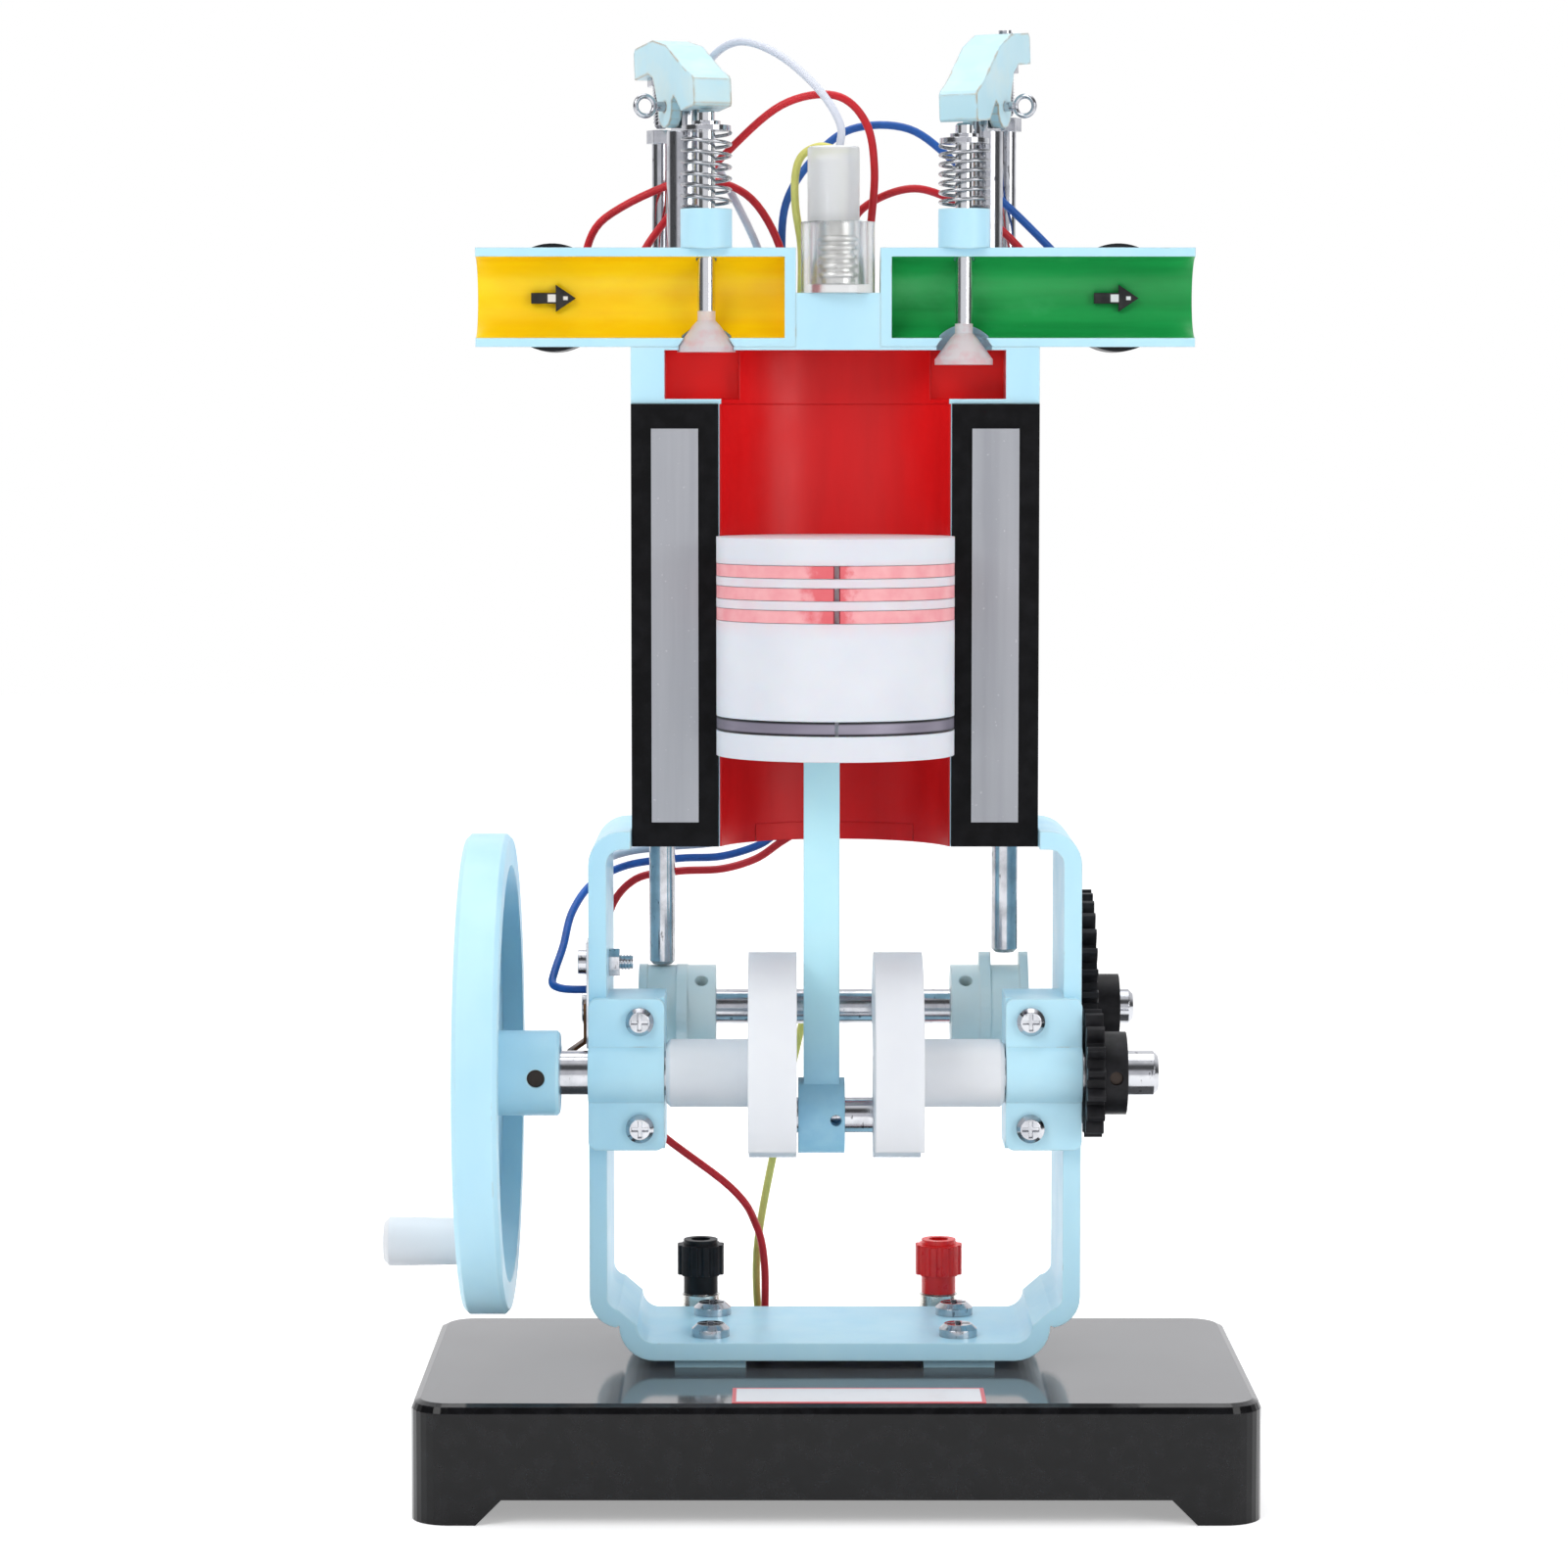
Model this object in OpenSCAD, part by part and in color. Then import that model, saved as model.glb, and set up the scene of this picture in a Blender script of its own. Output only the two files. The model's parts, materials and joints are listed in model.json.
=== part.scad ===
// Four-stroke engine demonstration model, cut open at the front.
// X runs along the crankshaft, Y runs to the back, Z is up, and the origin is under the base's centre.

/* [Base] */
// Width of the base
base_w = 185.5; // [170:0.5:220]
// Depth of the base
base_d = 98; // [94:1:130]
// Height of the base
base_h = 26.5; // [20:0.5:40]
// Radius of the base's upright corners
base_corner_r = 8.5; // [5:0.5:14]
// Radius of the base's top edge
base_edge_r = 2; // [0.5:0.25:3]
// Wall of the hollow base
base_wall = 3; // [2:0.5:5]
// Height of the feet at the base's corners
foot_h = 5.6; // [3:0.2:8]
// Length of each foot along the base's front
foot_len = 20; // [14:1:30]

/* [Crankcase frame] */
// Half of the frame's outer width
frame_half_w = 55; // [54:0.5:58]
// Wall of the frame ring
frame_wall = 4; // [3:0.25:5]
// Depth of the frame ring
frame_d = 43; // [42:1:50]
// Height of the frame's bottom face above the base
frame_lift = 2; // [1:0.25:4]
// Height of the frame ring
frame_h = 119.3; // [118:0.1:124]
// Radius of the frame's upper outer corners
frame_corner_r = 7.5; // [5:0.5:10]
// Width of a bearing block and its cap
cap_w = 17; // [15:0.5:17.5]
// Height of a bearing cap
cap_h = 34; // [30:1:40]
// Thickness of a bearing cap's plate
cap_t = 3.2; // [2:0.2:5]
// Wall around the shaft in a bearing cap
cap_bulge_wall = 2; // [1.5:0.25:3]

/* [Crank train] */
// Diameter of the crankshaft
crank_d = 10; // [8:0.5:11]
// Height of the crank axis
crank_z = 93.7; // [92:0.1:96]
// Crank throw, half of the piston's stroke
crank_throw = 12; // [10:0.5:12.5]
// Crank angle at rest, from the lowest point towards the back
crank_rest = 30; // [0:1:60]
// Diameter of the crank pin
crank_pin_d = 8; // [6:0.5:9]
// Thickness of a crank web
web_t = 10.7; // [8:0.1:11]
// Free width between the webs
web_gap = 17.2; // [16:0.2:18]
// Radius of the counterweights
web_r = 27; // [24:0.5:29]
// Radius of a web around the crank pin
web_pin_r = 9.5; // [8:0.5:11]
// Diameter of the white journals beside the webs
journal_d = 15.2; // [13:0.2:18]
// Free length of the shaft past the frame on the gear side
shaft_free_len = 17; // [14:0.5:24]
// Diameter of the flywheel
flywheel_d = 107; // [96:1:110]
// Width of the flywheel's rim
flywheel_rim_w = 9.7; // [7:0.1:12]
// Thickness of the flywheel's rim in the radial direction
flywheel_rim_t = 7; // [5:0.5:12]
// Thickness of the flywheel's disc
flywheel_web_t = 5; // [3:0.5:7]
// Diameter of the flywheel's hub
flywheel_hub_d = 19; // [16:0.5:24]
// Length of the flywheel's hub past the rim
flywheel_hub_len = 10.9; // [8:0.1:14]
// Distance from the frame to the flywheel's hub
flywheel_gap = 6.4; // [3:0.2:9]
// Distance of the handle from the crank axis
handle_r = 38; // [30:0.5:40]
// Diameter of the handle grip
grip_d = 11; // [8:0.5:14]
// Length of the handle grip
grip_len = 18.6; // [14:0.2:26]
// Diameter of the handle's pin
grip_pin_d = 5; // [3:0.5:6]

/* [Rod and piston] */
// Width of the connecting rod's shank
rod_w = 8; // [6:0.5:9]
// Outer diameter of the rod's big end
big_end_d = 17; // [14:0.5:18]
// Width of the rod's big end
big_end_w = 10.4; // [8:0.2:11]
// Outer diameter of the rod's small end
small_end_d = 13; // [11:0.5:14]
// Shift of the rod to the left of the bore's axis
rod_shift = 3; // [2:0.25:3.2]
// Diameter of the gudgeon pin
gudgeon_d = 6; // [5:0.5:7]
// Diameter of the piston
piston_d = 52.8; // [51:0.1:53]
// Length of the piston
piston_len = 48.3; // [46:0.1:52]
// Height of the piston's crown at rest
piston_top_z = 213.4; // [212:0.1:215]
// Wall of the piston's skirt
piston_wall = 3.5; // [3:0.25:4]
// Height of the gudgeon pin above the piston's lower edge
gudgeon_up = 16; // [14:0.5:18]

/* [Cylinder and head] */
// Diameter of the bore
bore_d = 53.4; // [53.3:0.1:56]
// Distance of the cut face behind the bore's axis
cut_back = 8; // [6:0.25:10]
// Distance of the block's sides inside the frame's sides
block_in = 9.5; // [8:0.25:11]
// Height of the cylinder block's upper face
block_top_z = 242.7; // [241:0.1:245]
// Thickness of the black section plates
plate_t = 0.8; // [0.5:0.1:1.5]
// Half of the combustion chamber's width
chamber_half_w = 38; // [36:0.25:40]
// Height of the combustion chamber
chamber_h = 10.8; // [10:0.1:12]
// Height of the head's side legs
head_leg_h = 12.6; // [12:0.1:14]
// Depth of the head behind the cut face
head_d = 24; // [20:0.5:25]
// Outer diameter of the pipes
pipe_d = 22; // [20:0.5:24]
// Wall of the pipes
pipe_wall = 2; // [1.5:0.25:3]
// Distance of the pipes' outer ends from the middle
pipe_reach = 80; // [76:0.5:90]
// Width of the block between the pipes
plug_gap = 18.8; // [17:0.2:20]

/* [Valve train] */
// Distance of the valves from the middle
valve_x = 28.7; // [28:0.1:30]
// Distance of the valves behind the cut face
valve_back = 3; // [2:0.25:4]
// Diameter of the valve stems
stem_d = 4; // [3:0.25:4.5]
// Diameter of the valve heads
valve_head_d = 13; // [11:0.25:14]
// Lift of the valves and of the cams
valve_lift = 2.8; // [2:0.1:3]
// Diameter of the valve guides
guide_d = 11.5; // [10:0.25:13]
// Height of the valve guides' upper faces
guide_top_z = 285.9; // [285:0.1:288]
// Length of a closed valve's spring
spring_len = 17.2; // [15:0.2:18]
// Outer diameter of the springs
spring_d = 11.6; // [10:0.2:12]
// Wire of the springs
spring_wire = 0.8; // [0.6:0.1:1]
// Curls of a spring
spring_curls = 6.5; // [4:0.5:7]
// Diameter of the spring retainers
retainer_d = 11; // [9:0.25:12]
// Height of the rocker pivots
pivot_z = 309.3; // [309:0.1:310]
// Width of a rocker
rocker_w = 9; // [8:0.25:10]
// Diameter of the rocker posts
post_d = 7.5; // [6:0.25:8]
// Distance of the push rods inside the frame's side
pushrod_in = 15.5; // [15:0.1:16]
// Diameter of the tappets
tappet_d = 6; // [5:0.25:6.5]
// Diameter of the push rods
pushrod_d = 4; // [3:0.25:4.5]

/* [Cam train] */
// Diameter of the camshaft
cam_shaft_d = 8; // [6:0.5:9]
// Distance of the camshaft behind the crankshaft
cam_back = 37; // [36.5:0.1:37.5]
// Radius of the cams away from the lobe
cam_r = 9.6; // [8.5:0.1:10]
// Width of a cam's hub
cam_hub_w = 6.5; // [5:0.5:8]
// Tooth module of the gears
gear_module = 1.6; // [1.59:0.005:1.62]
// Teeth of the crank gear
crank_teeth = 16; // [16:1:16]
// Teeth of the cam gear
cam_teeth = 32; // [32:1:32]
// Face width of the gears
gear_w = 4; // [3:0.25:5]

/* [Plug and electrics] */
// Diameter of the plug's socket
socket_d = 16.5; // [14:0.25:17]
// Height of the plug's socket
socket_h = 15.8; // [13:0.2:18]
// Diameter of the plug's cap
plug_cap_d = 11.6; // [10:0.2:13]
// Height of the plug's cap
plug_cap_h = 16.7; // [14:0.2:20]
// Diameter of the lamp housings behind the pipes
lamp_d = 24; // [23:0.5:28]
// Distance of the lamp housings from the middle
lamp_x = 63; // [60:0.5:64]
// Diameter of the binding posts' caps
terminal_d = 11; // [9:0.25:12]
// Diameter of the binding posts' sockets
terminal_bore_d = 4; // [3.5:0.1:4.2]
// Half of the distance between the binding posts
terminal_x = 28; // [26:0.5:30]
// Diameter of the wires
wire_d = 1.8; // [1.4:0.1:2]

/* [Fits] */
// Gap around a turning shaft
shaft_fit = 0.05; // [0.03:0.01:0.1]
// Gap around a sliding rod
slide_fit = 0.08; // [0.05:0.01:0.1]
// Gap between pieces that move past each other
run_gap = 0.3; // [0.25:0.05:0.4]
// Gap around a fastener in its hole
screw_fit = 0.1; // [0.05:0.05:0.2]

/* [Hidden] */
$fn = 64;
hull_fn = 32;
cut = 0.1;

// Colours as the model wears them
blue = [0.68, 0.86, 0.95];
nylon = [0.92, 0.93, 0.94];
steel = [0.72, 0.73, 0.75];
black = [0.07, 0.07, 0.08];

// Frame levels and planes
frame_z = base_h + frame_lift;
frame_top_z = frame_z + frame_h;
frame_in_x = frame_half_w - frame_wall;
crank_y = -12;
frame_front_y = crank_y;
frame_back_y = frame_front_y + frame_d;
plate_top_z = frame_z + frame_wall;
frame_step_z = frame_z + 14.5;
step_r = 7;
frame_step_x = frame_half_w - step_r;
foot_curve_x = frame_step_x - 7.6;
foot_curve_r = 8;
bearing_in_x = frame_half_w - cap_w;
bearing_d = 16;
pad_x = 28;
pad_w = 16;

// Fasteners
frame_screw_d = 4;
frame_screw_x = pad_x;
frame_screw_in = 9;
cap_screw_d = 3;
cap_screw_up = 12;
cap_screw_x = bearing_in_x + 5.5;
cap_screw_len = 11;
flywheel_grub_d = 4;
gear_grub_d = 3;
hub_slot = 5;
grub_gap = 0.02;
grub_in = 1;

// Crank train places
web_in_x = web_gap / 2;
web_out_x = web_in_x + web_t;
journal_end_x = bearing_in_x - run_gap;
shaft_hole_d = crank_d + 2 * shaft_fit;
pin_dir = [sin(crank_rest), -cos(crank_rest)];
pin_y = crank_y + crank_throw * pin_dir[0];
pin_z = crank_z + crank_throw * pin_dir[1];
key_y = crank_y + crank_throw / 2 * pin_dir[0];
key_z = crank_z + crank_throw / 2 * pin_dir[1];
key_d = 2.8;
key_len = 8;
key_in = 1;
shaft_in = 0.6;
pin_in = 2;
end_chamfer = 1;
hub_end_x = -frame_half_w - flywheel_gap;
rim_right_x = hub_end_x - flywheel_hub_len;
rim_left_x = rim_right_x - flywheel_rim_w;
shaft_left_x = rim_right_x - flywheel_rim_w / 2;
handle_y = crank_y;
handle_z = crank_z - handle_r;
grip_head = 1.5;
grip_head_d = grip_pin_d + 2.5;
grip_sink = 0.5;
grip_recess = grip_sink + grip_head + run_gap;
grip_hole_r = grip_pin_d / 2 + shaft_fit;
grip_in_x = rim_left_x - run_gap;
grip_out_x = grip_in_x - grip_len;

// Rod and piston places
rod_x = -rod_shift;
piston_low_z = piston_top_z - piston_len;
gudgeon_z = piston_low_z + gudgeon_up;
rod_y = pin_y;
crown_t = 14;
boss_out = 12;
boss_low = 6;
rod_side_gap = 0.6;
oil_hole_d = 2.5;
oil_hole_x = 3.2;
gudgeon_len = 2 * boss_out - 2 * run_gap;
slot_half = crank_throw + gudgeon_d / 2 + run_gap;
ring_down = 8.6;
ring_pitch = 4.85;
ring_z = [for (i = [0 : 2]) piston_top_z - ring_down - i * ring_pitch];
ring_w = 2.85;
ring_t = 1.2;
oil_ring_down = 42.7;
oil_ring_z = piston_top_z - oil_ring_down;
oil_ring_w = 3.2;

// Cylinder and head places
block_half_w = frame_half_w - block_in;
cut_y = crank_y + cut_back;
jacket_r = sqrt(pow(block_half_w, 2) + pow(cut_back, 2));
block_low_z = frame_top_z - frame_wall;
notch_back_y = cut_y + 12;
flange_h = 8;
seat_gap = 0.05;
plate_in_x = sqrt(pow(bore_d / 2, 2) - pow(cut_back - plate_t, 2)) + 0.3;
strip_share = 0.231;
strip_side = strip_share * (block_half_w - plate_in_x);
strip_end = 5.5;
strip_t = 0.4;
chamber_z = block_top_z + 1.1;
chamber_top_z = chamber_z + chamber_h;
chamber_d = valve_back + valve_head_d / 2 + 1.5;
pocket_in_x = valve_x - valve_head_d / 2 - 0.7;
pipe_z = block_top_z + head_leg_h + pipe_d / 2;
head_shoulder_z = pipe_z - 2;
plug_left_x = -plug_gap / 2 + 0.65;
plug_right_x = plug_gap / 2 + 0.65;
plug_floor_z = block_top_z + 24.6;
plug_y = cut_y + 5;
lamp_len = 17;
lamp_cap_d = 9;
lamp_seat = 2;
plug_x = (plug_left_x + plug_right_x) / 2;
pipe_end_t = 2.5;
arrow_t = 1;
arrow_half = 5;
arrow_shaft = 1.2;
arrow_head = 3;
arrow_neck = 0.5;

// Valve train places, all per side
valve_y = cut_y + valve_back;
stem_hole_d = stem_d + 2 * slide_fit;
port_d = valve_head_d + 2 * run_gap;
valve_face_z = chamber_top_z - 0.4;
valve_cone_h = 7;
valve_rim_h = 1.2;
valve_neck = 1;
retainer_t = 1.2;
pushrod_x = frame_half_w - pushrod_in;
retainer_z = guide_top_z + spring_len;
cam_y = crank_y + cam_back;
arm_y = (cam_y - valve_y) / 2;
arm_x = (pushrod_x - valve_x) / 2;
arm = sqrt(pow(arm_y, 2) + pow(arm_x, 2));
arm_turn = atan2(arm_y, arm_x);
tilt = asin(valve_lift / 2 / arm);
pivot_x = valve_x + arm_x;
pivot_y = valve_y + arm_y;
nose_drop = 2.6;
nose_z = pivot_z + arm * sin(tilt) - nose_drop * cos(tilt);
tail_z = pivot_z - arm * sin(tilt) - nose_drop * cos(tilt);
stem_top_z = nose_z - run_gap - 0.15;
tang_t = 3.2;
split_pin_d = 2.2;
adjuster_d = 3;
nut_h = 3;
nut_d = 6.4;
rocker_reach = arm + 4;
tail_low = 9;
tail_high = 16;
fork_half = 4.2;
spring_sides = 6;
rings_per_curl = 8;
spring_clear = 0.05;
pushrod_top_z = tail_z - run_gap - 0.15;

// Cam train places
center_dist = gear_module * (crank_teeth + cam_teeth) / 2;
cam_z = crank_z + sqrt(pow(center_dist, 2) - pow(cam_back, 2));
mesh_angle = atan2(cam_z - crank_z, cam_back);
lobe_r = cam_r + valve_lift + run_gap;
tappet_hole_d = tappet_d + 2 * slide_fit;
tappet_groove = tappet_d + 2 * run_gap;
cheek_in_w = 2.6;
cheek_out_w = 2;
groove_in_x = pushrod_x - tappet_groove / 2;
groove_out_x = pushrod_x + tappet_groove / 2;
cam_hub_x = groove_in_x - cheek_in_w - cam_hub_w;
tappet_low_z = cam_z + cam_r + run_gap;
gear_x = frame_half_w + 0.6;
backlash = 0.3;
pressure = 20;
crank_hub_d = 18.5;
crank_hub_len = 5.3;
cam_hub_d = 15;
cam_hub_len = 6.3;
gear_grub_x = gear_x + gear_w + crank_hub_len / 2;
tappet_shoulder_z = frame_top_z + flange_h + 8;
cam_shaft_end_x = 69.2;
cam_shaft_back_x = -58;

// Electrics places
terminal_clear = 3;
terminal_mid_x = -3;
terminal_body_h = 14.6;
terminal_cap_h = 7;
terminal_skirt_h = 4.5;
terminal_skirt_d = 8;
terminal_collar_h = 1.2;
terminal_foot_h = 7.6;
terminal_foot_d = 9;
terminal_y = frame_back_y + terminal_foot_d / 2 + terminal_clear;
terminal_stud_d = 5;
terminal_neck_d = 6;
socket_floor = 7.6;
bracket_z = crank_z + 20;
bracket_y = 4;
bracket_t = 1;
bracket_half_w = 5;
leaf_half_w = 4;
leaf_t = 0.7;
bolt_d = 3;
bolt_head_d = 5.6;
bolt_head_h = 2;
bolt_nut_d = 6.2;
bolt_nut_h = 2.4;
bolt_end = 5.4;
bolt_z = bracket_z + 3;

// Wire routes, their ends on the faces that carry them
plug_cap_top_z = plug_floor_z + socket_h + plug_cap_h;
lamp_back_y = cut_y + lamp_len;
plate_mid_z = frame_top_z - frame_wall / 2;
wire_white = [[1, 0, plug_cap_top_z], [1, 0, 305], [-4, 3, 313], [-13, 9, 321], [-22, 14, 324],
  [-29, 20, 319], [-31, 25, 307], [-17, 17, 277], [-17, 17, head_shoulder_z]];
wire_red_arc = [[-58, lamp_back_y, 272], [-58, 19, 272], [-57, 22.5, 276], [-52, 21, 285], [-34, 17.5, 293],
  [-20, 15, 290], [-12, 13, 277], [-12, 13, head_shoulder_z]];
wire_red_loop = [[-44, 15, head_shoulder_z], [-44, 15, 275], [-37, 21, 286], [-25, 19, 299], [-12, 16, 310],
  [0, 13, 312], [7, 13, 306], [9, 13, 295], [8, 13, 280], [8, 13, plug_floor_z]];
wire_blue = [[-12, 18, head_shoulder_z], [-12, 18, 275], [-11, 19, 288], [-5, 20, 298], [4, 21, 305],
  [17, 21, 305], [28, 20, 297], [40, 20, 287], [52.5, 24, 275], [56, 18, 271], [56, lamp_back_y, 271]];
wire_yellow = [[-7.5, 14, plug_floor_z], [-7.5, 14, 278], [-8.8, 13, 287], [-8.8, 12, 294.4],
  [-7.1, 11.3, 298.7], [-2.9, 11, 300.5], [1.3, 11, 298.7], [3, 11, 294.4], [3, 11, 287.5],
  [3, 11, plug_floor_z]];
wire_red_low = [[3, 18, plug_floor_z], [3, 18, 277], [5.5, 18, 286], [15, 17, 291], [24, 17, 290],
  [38, 18, 282], [51.5, 25.5, 267.5], [57, 21, 262], [57, lamp_back_y, 262]];
wire_post_red = [[-5, frame_back_y, plate_mid_z], [-5, 36, plate_mid_z], [-7.4, 40.2, 143.7],
  [-12.3, 40.4, 140.6], [-18, 38, 137], [-26, 35.2, 134.9], [-36, 34.9, 134.4], [-46, 35, 132.5],
  [-52, 35.2, 125], [-53, 35, 112], [-53, 35, 94], [-45, 35, 77], [-24, 35, 60], [-18, 41, 50],
  [-16, 43, 40], [-16, 43, base_h]];
wire_post_yellow = [[-0.5, frame_back_y, plate_mid_z], [-0.5, 37.5, plate_mid_z], [-0.5, 45, 139.5],
  [-4, 46, 112], [-11, 45.5, 80], [-17.5, 46, 46], [-17.5, 46, base_h]];
wire_left_blue = [[-10.5, frame_back_y, plate_mid_z], [-10.5, 36, plate_mid_z], [-12.5, 40.6, 143.6],
  [-17, 42, 140], [-26, 42.3, 137.2], [-36, 42.2, 136.7], [-48, 40, 135.3], [-56, 36, 131.5],
  [-60.5, 29, 125.5], [-62.2, 20, 118.5], [-63.6, 12.8, 114.2], [-64.1, 8.2, 111.5], [-62.4, 5.3, 110.7],
  [-59.5, bracket_y, 110.5], [-frame_half_w - bracket_t, bracket_y, 110.5]];
wire_left_grey = [[-15.5, frame_back_y, plate_mid_z], [-15.5, 36.5, plate_mid_z], [-17.4, 41, 144.4],
  [-21.5, 42.8, 142.3], [-28, 42.8, 140.3], [-38, 42.3, 139.5], [-46, 40.3, 138.8], [-50.4, 37.6, 138],
  [-52, 34.6, 137.5], [-52, frame_back_y, 137.5]];

// Shapes used again and again

// A bar of round section along X
module along_x(d, x0, x1, y, z) {
  translate([x0, y, z]) rotate([0, 90, 0]) cylinder(d = d, h = x1 - x0);
}

// The chamfered end of a bar along X
module x_cone(d, x, y, z) {
  translate([x, y, z]) rotate([0, 90, 0]) cylinder(d1 = d, d2 = d - 2 * end_chamfer, h = end_chamfer);
}

// A round hole or bar along Y
module along_y(d, y0, y1, x, z) {
  translate([x, y1, z]) rotate([90, 0, 0]) cylinder(d = d, h = y1 - y0);
}

// An upright bar of round section
module upright(d, z0, z1, x, y) {
  translate([x, y, z0]) cylinder(d = d, h = z1 - z0);
}

// A box from its two corners
module box(low, high) {
  translate(low) cube(high - low);
}

// An outline in Y and Z, extruded along X
module yz_plate(x0, x1) {
  translate([x0, 0, 0]) rotate([90, 0, 90]) linear_extrude(x1 - x0) children();
}

// An outline in X and Z, extruded along Y
module xz_plate(y0, y1) {
  translate([0, y1, 0]) rotate([90, 0, 0]) linear_extrude(y1 - y0) children();
}

// The same piece on the left or the right side
module on_side(side) {
  mirror([side < 0 ? 1 : 0, 0, 0]) children();
}

module on_both_sides() {
  for (side = [-1, 1]) on_side(side) children();
}

// Points along an arc, angles in degrees
function arc(c, r, a0, a1, n = 8) =
  [for (i = [0 : n]) let (a = a0 + (a1 - a0) * i / n) [c[0] + r * cos(a), c[1] + r * sin(a)]];

// A rectangle with round corners, centred
module round_rect(w, h, r) {
  square([w - 2 * r, h], center = true);
  square([w, h - 2 * r], center = true);
  for (x = [-1, 1], y = [-1, 1]) translate([x * (w / 2 - r), y * (h / 2 - r)]) circle(r);
}

// A pan-head screw along +Z with a cross recess, its head's seat at z = 0
module pan_screw(d, head_d, head_h, len) {
  difference() {
    union() {
      translate([0, 0, -len]) cylinder(d = d, h = len + cut);
      cylinder(d = head_d, h = head_h * 0.6);
      translate([0, 0, head_h * 0.6]) cylinder(d1 = head_d, d2 = head_d * 0.72, h = head_h * 0.4);
    }
    for (turn = [0, 90])
      rotate(turn) translate([-head_d * 0.3, -head_d * 0.07, head_h * 0.45])
        cube([head_d * 0.6, head_d * 0.14, head_h]);
  }
}

// Vector helpers for tubes
function unit(v) = v / norm(v);
function tube_dir(p, i) = unit(p[min(i + 1, len(p) - 1)] - p[max(i - 1, 0)]);
function side_of(t) = unit(cross(t, abs(t[2]) < 0.9 ? [0, 0, 1] : [1, 0, 0]));

// A side vector carried along the route, so that the tube doesn't twist
function carried(p, i, v) = let (t = tube_dir(p, i)) unit(v - t * (t * v));
function sides_of(p, i = 0, v = undef) =
  i >= len(p) ? [] :
  let (s = is_undef(v) ? side_of(tube_dir(p, 0)) : carried(p, i, v))
  concat([s], sides_of(p, i + 1, s));

// A tube of one polyhedron through the given points, with triangles only
module tube(p, d, sides) {
  n = len(p);
  s = sides_of(p);
  rings = [for (i = [0 : n - 1], k = [0 : sides - 1])
    let (a = 360 * k / sides, u = cross(tube_dir(p, i), s[i]))
    p[i] + d / 2 * (cos(a) * s[i] + sin(a) * u)];
  walls = [for (i = [0 : n - 2], k = [0 : sides - 1])
    let (a = i * sides + k, b = i * sides + (k + 1) % sides)
    each [[a, a + sides, b], [b, a + sides, b + sides]]];
  low_cap = [for (k = [1 : sides - 2]) [0, k, k + 1]];
  top = (n - 1) * sides;
  high_cap = [for (k = [1 : sides - 2]) [top, top + k + 1, top + k]];
  polyhedron(points = rings, faces = concat(walls, low_cap, high_cap));
}

// The base: a hollow box with round edges, cut away between its feet
module base_outline(grow, h) {
  for (x = [-1, 1], y = [-1, 1])
    translate([x * (base_w / 2 - base_corner_r), y * (base_d / 2 - base_corner_r), 0])
      cylinder(r = base_corner_r + grow, h = h, $fn = hull_fn);
}

module base() {
  foot_cut_x = base_w / 2 - foot_len;
  color(black) difference() {
    hull() {
      base_outline(0, base_h - base_edge_r);
      base_outline(-base_edge_r * 0.3, base_h - base_edge_r * 0.3);
      base_outline(-base_edge_r, base_h);
    }
    translate([0, 0, -cut]) linear_extrude(base_h - base_wall + cut)
      round_rect(base_w - 2 * base_wall, base_d - 2 * base_wall, base_corner_r - base_wall);
    xz_plate(-base_d / 2 - cut, base_d / 2 + cut)
      polygon([[-foot_cut_x - foot_h, -cut], [-foot_cut_x - foot_h, 0], [-foot_cut_x, foot_h],
        [foot_cut_x, foot_h], [foot_cut_x + foot_h, 0], [foot_cut_x + foot_h, -cut]]);
    frame_screw_places() upright(frame_screw_d + 2 * screw_fit, -2 * base_wall, cut, 0, 0);
    terminal_places() upright(terminal_stud_d + 2 * screw_fit, -2 * base_wall, cut, 0, 0);
  }
}

// The four screws that hold the frame to the base, children at the frame plate's top
module frame_screw_places() {
  for (x = [-frame_screw_x, frame_screw_x],
      y = [frame_front_y + frame_screw_in, frame_back_y - frame_screw_in])
    translate([x, y, base_h]) children();
}

module frame_screws() {
  color(steel) frame_screw_places()
    translate([0, 0, plate_top_z - base_h])
      pan_screw(frame_screw_d, 8.6, 2.8, plate_top_z - base_h + base_wall);
}

// Half of the frame's outline, offset inwards by one wall or not at all
function frame_side(inset) = concat(
  arc([frame_half_w - frame_corner_r, frame_top_z - frame_corner_r], frame_corner_r - inset, 90, 0),
  arc([frame_step_x, frame_step_z], step_r - inset, 0, -80),
  arc([foot_curve_x, frame_z + foot_curve_r], foot_curve_r - inset, 0, -90));
function mirrored(p) = [for (i = [len(p) - 1 : -1 : 0]) [-p[i][0], p[i][1]]];
module frame_outline(inset) {
  polygon(concat(frame_side(inset), mirrored(frame_side(inset))));
}

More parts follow.
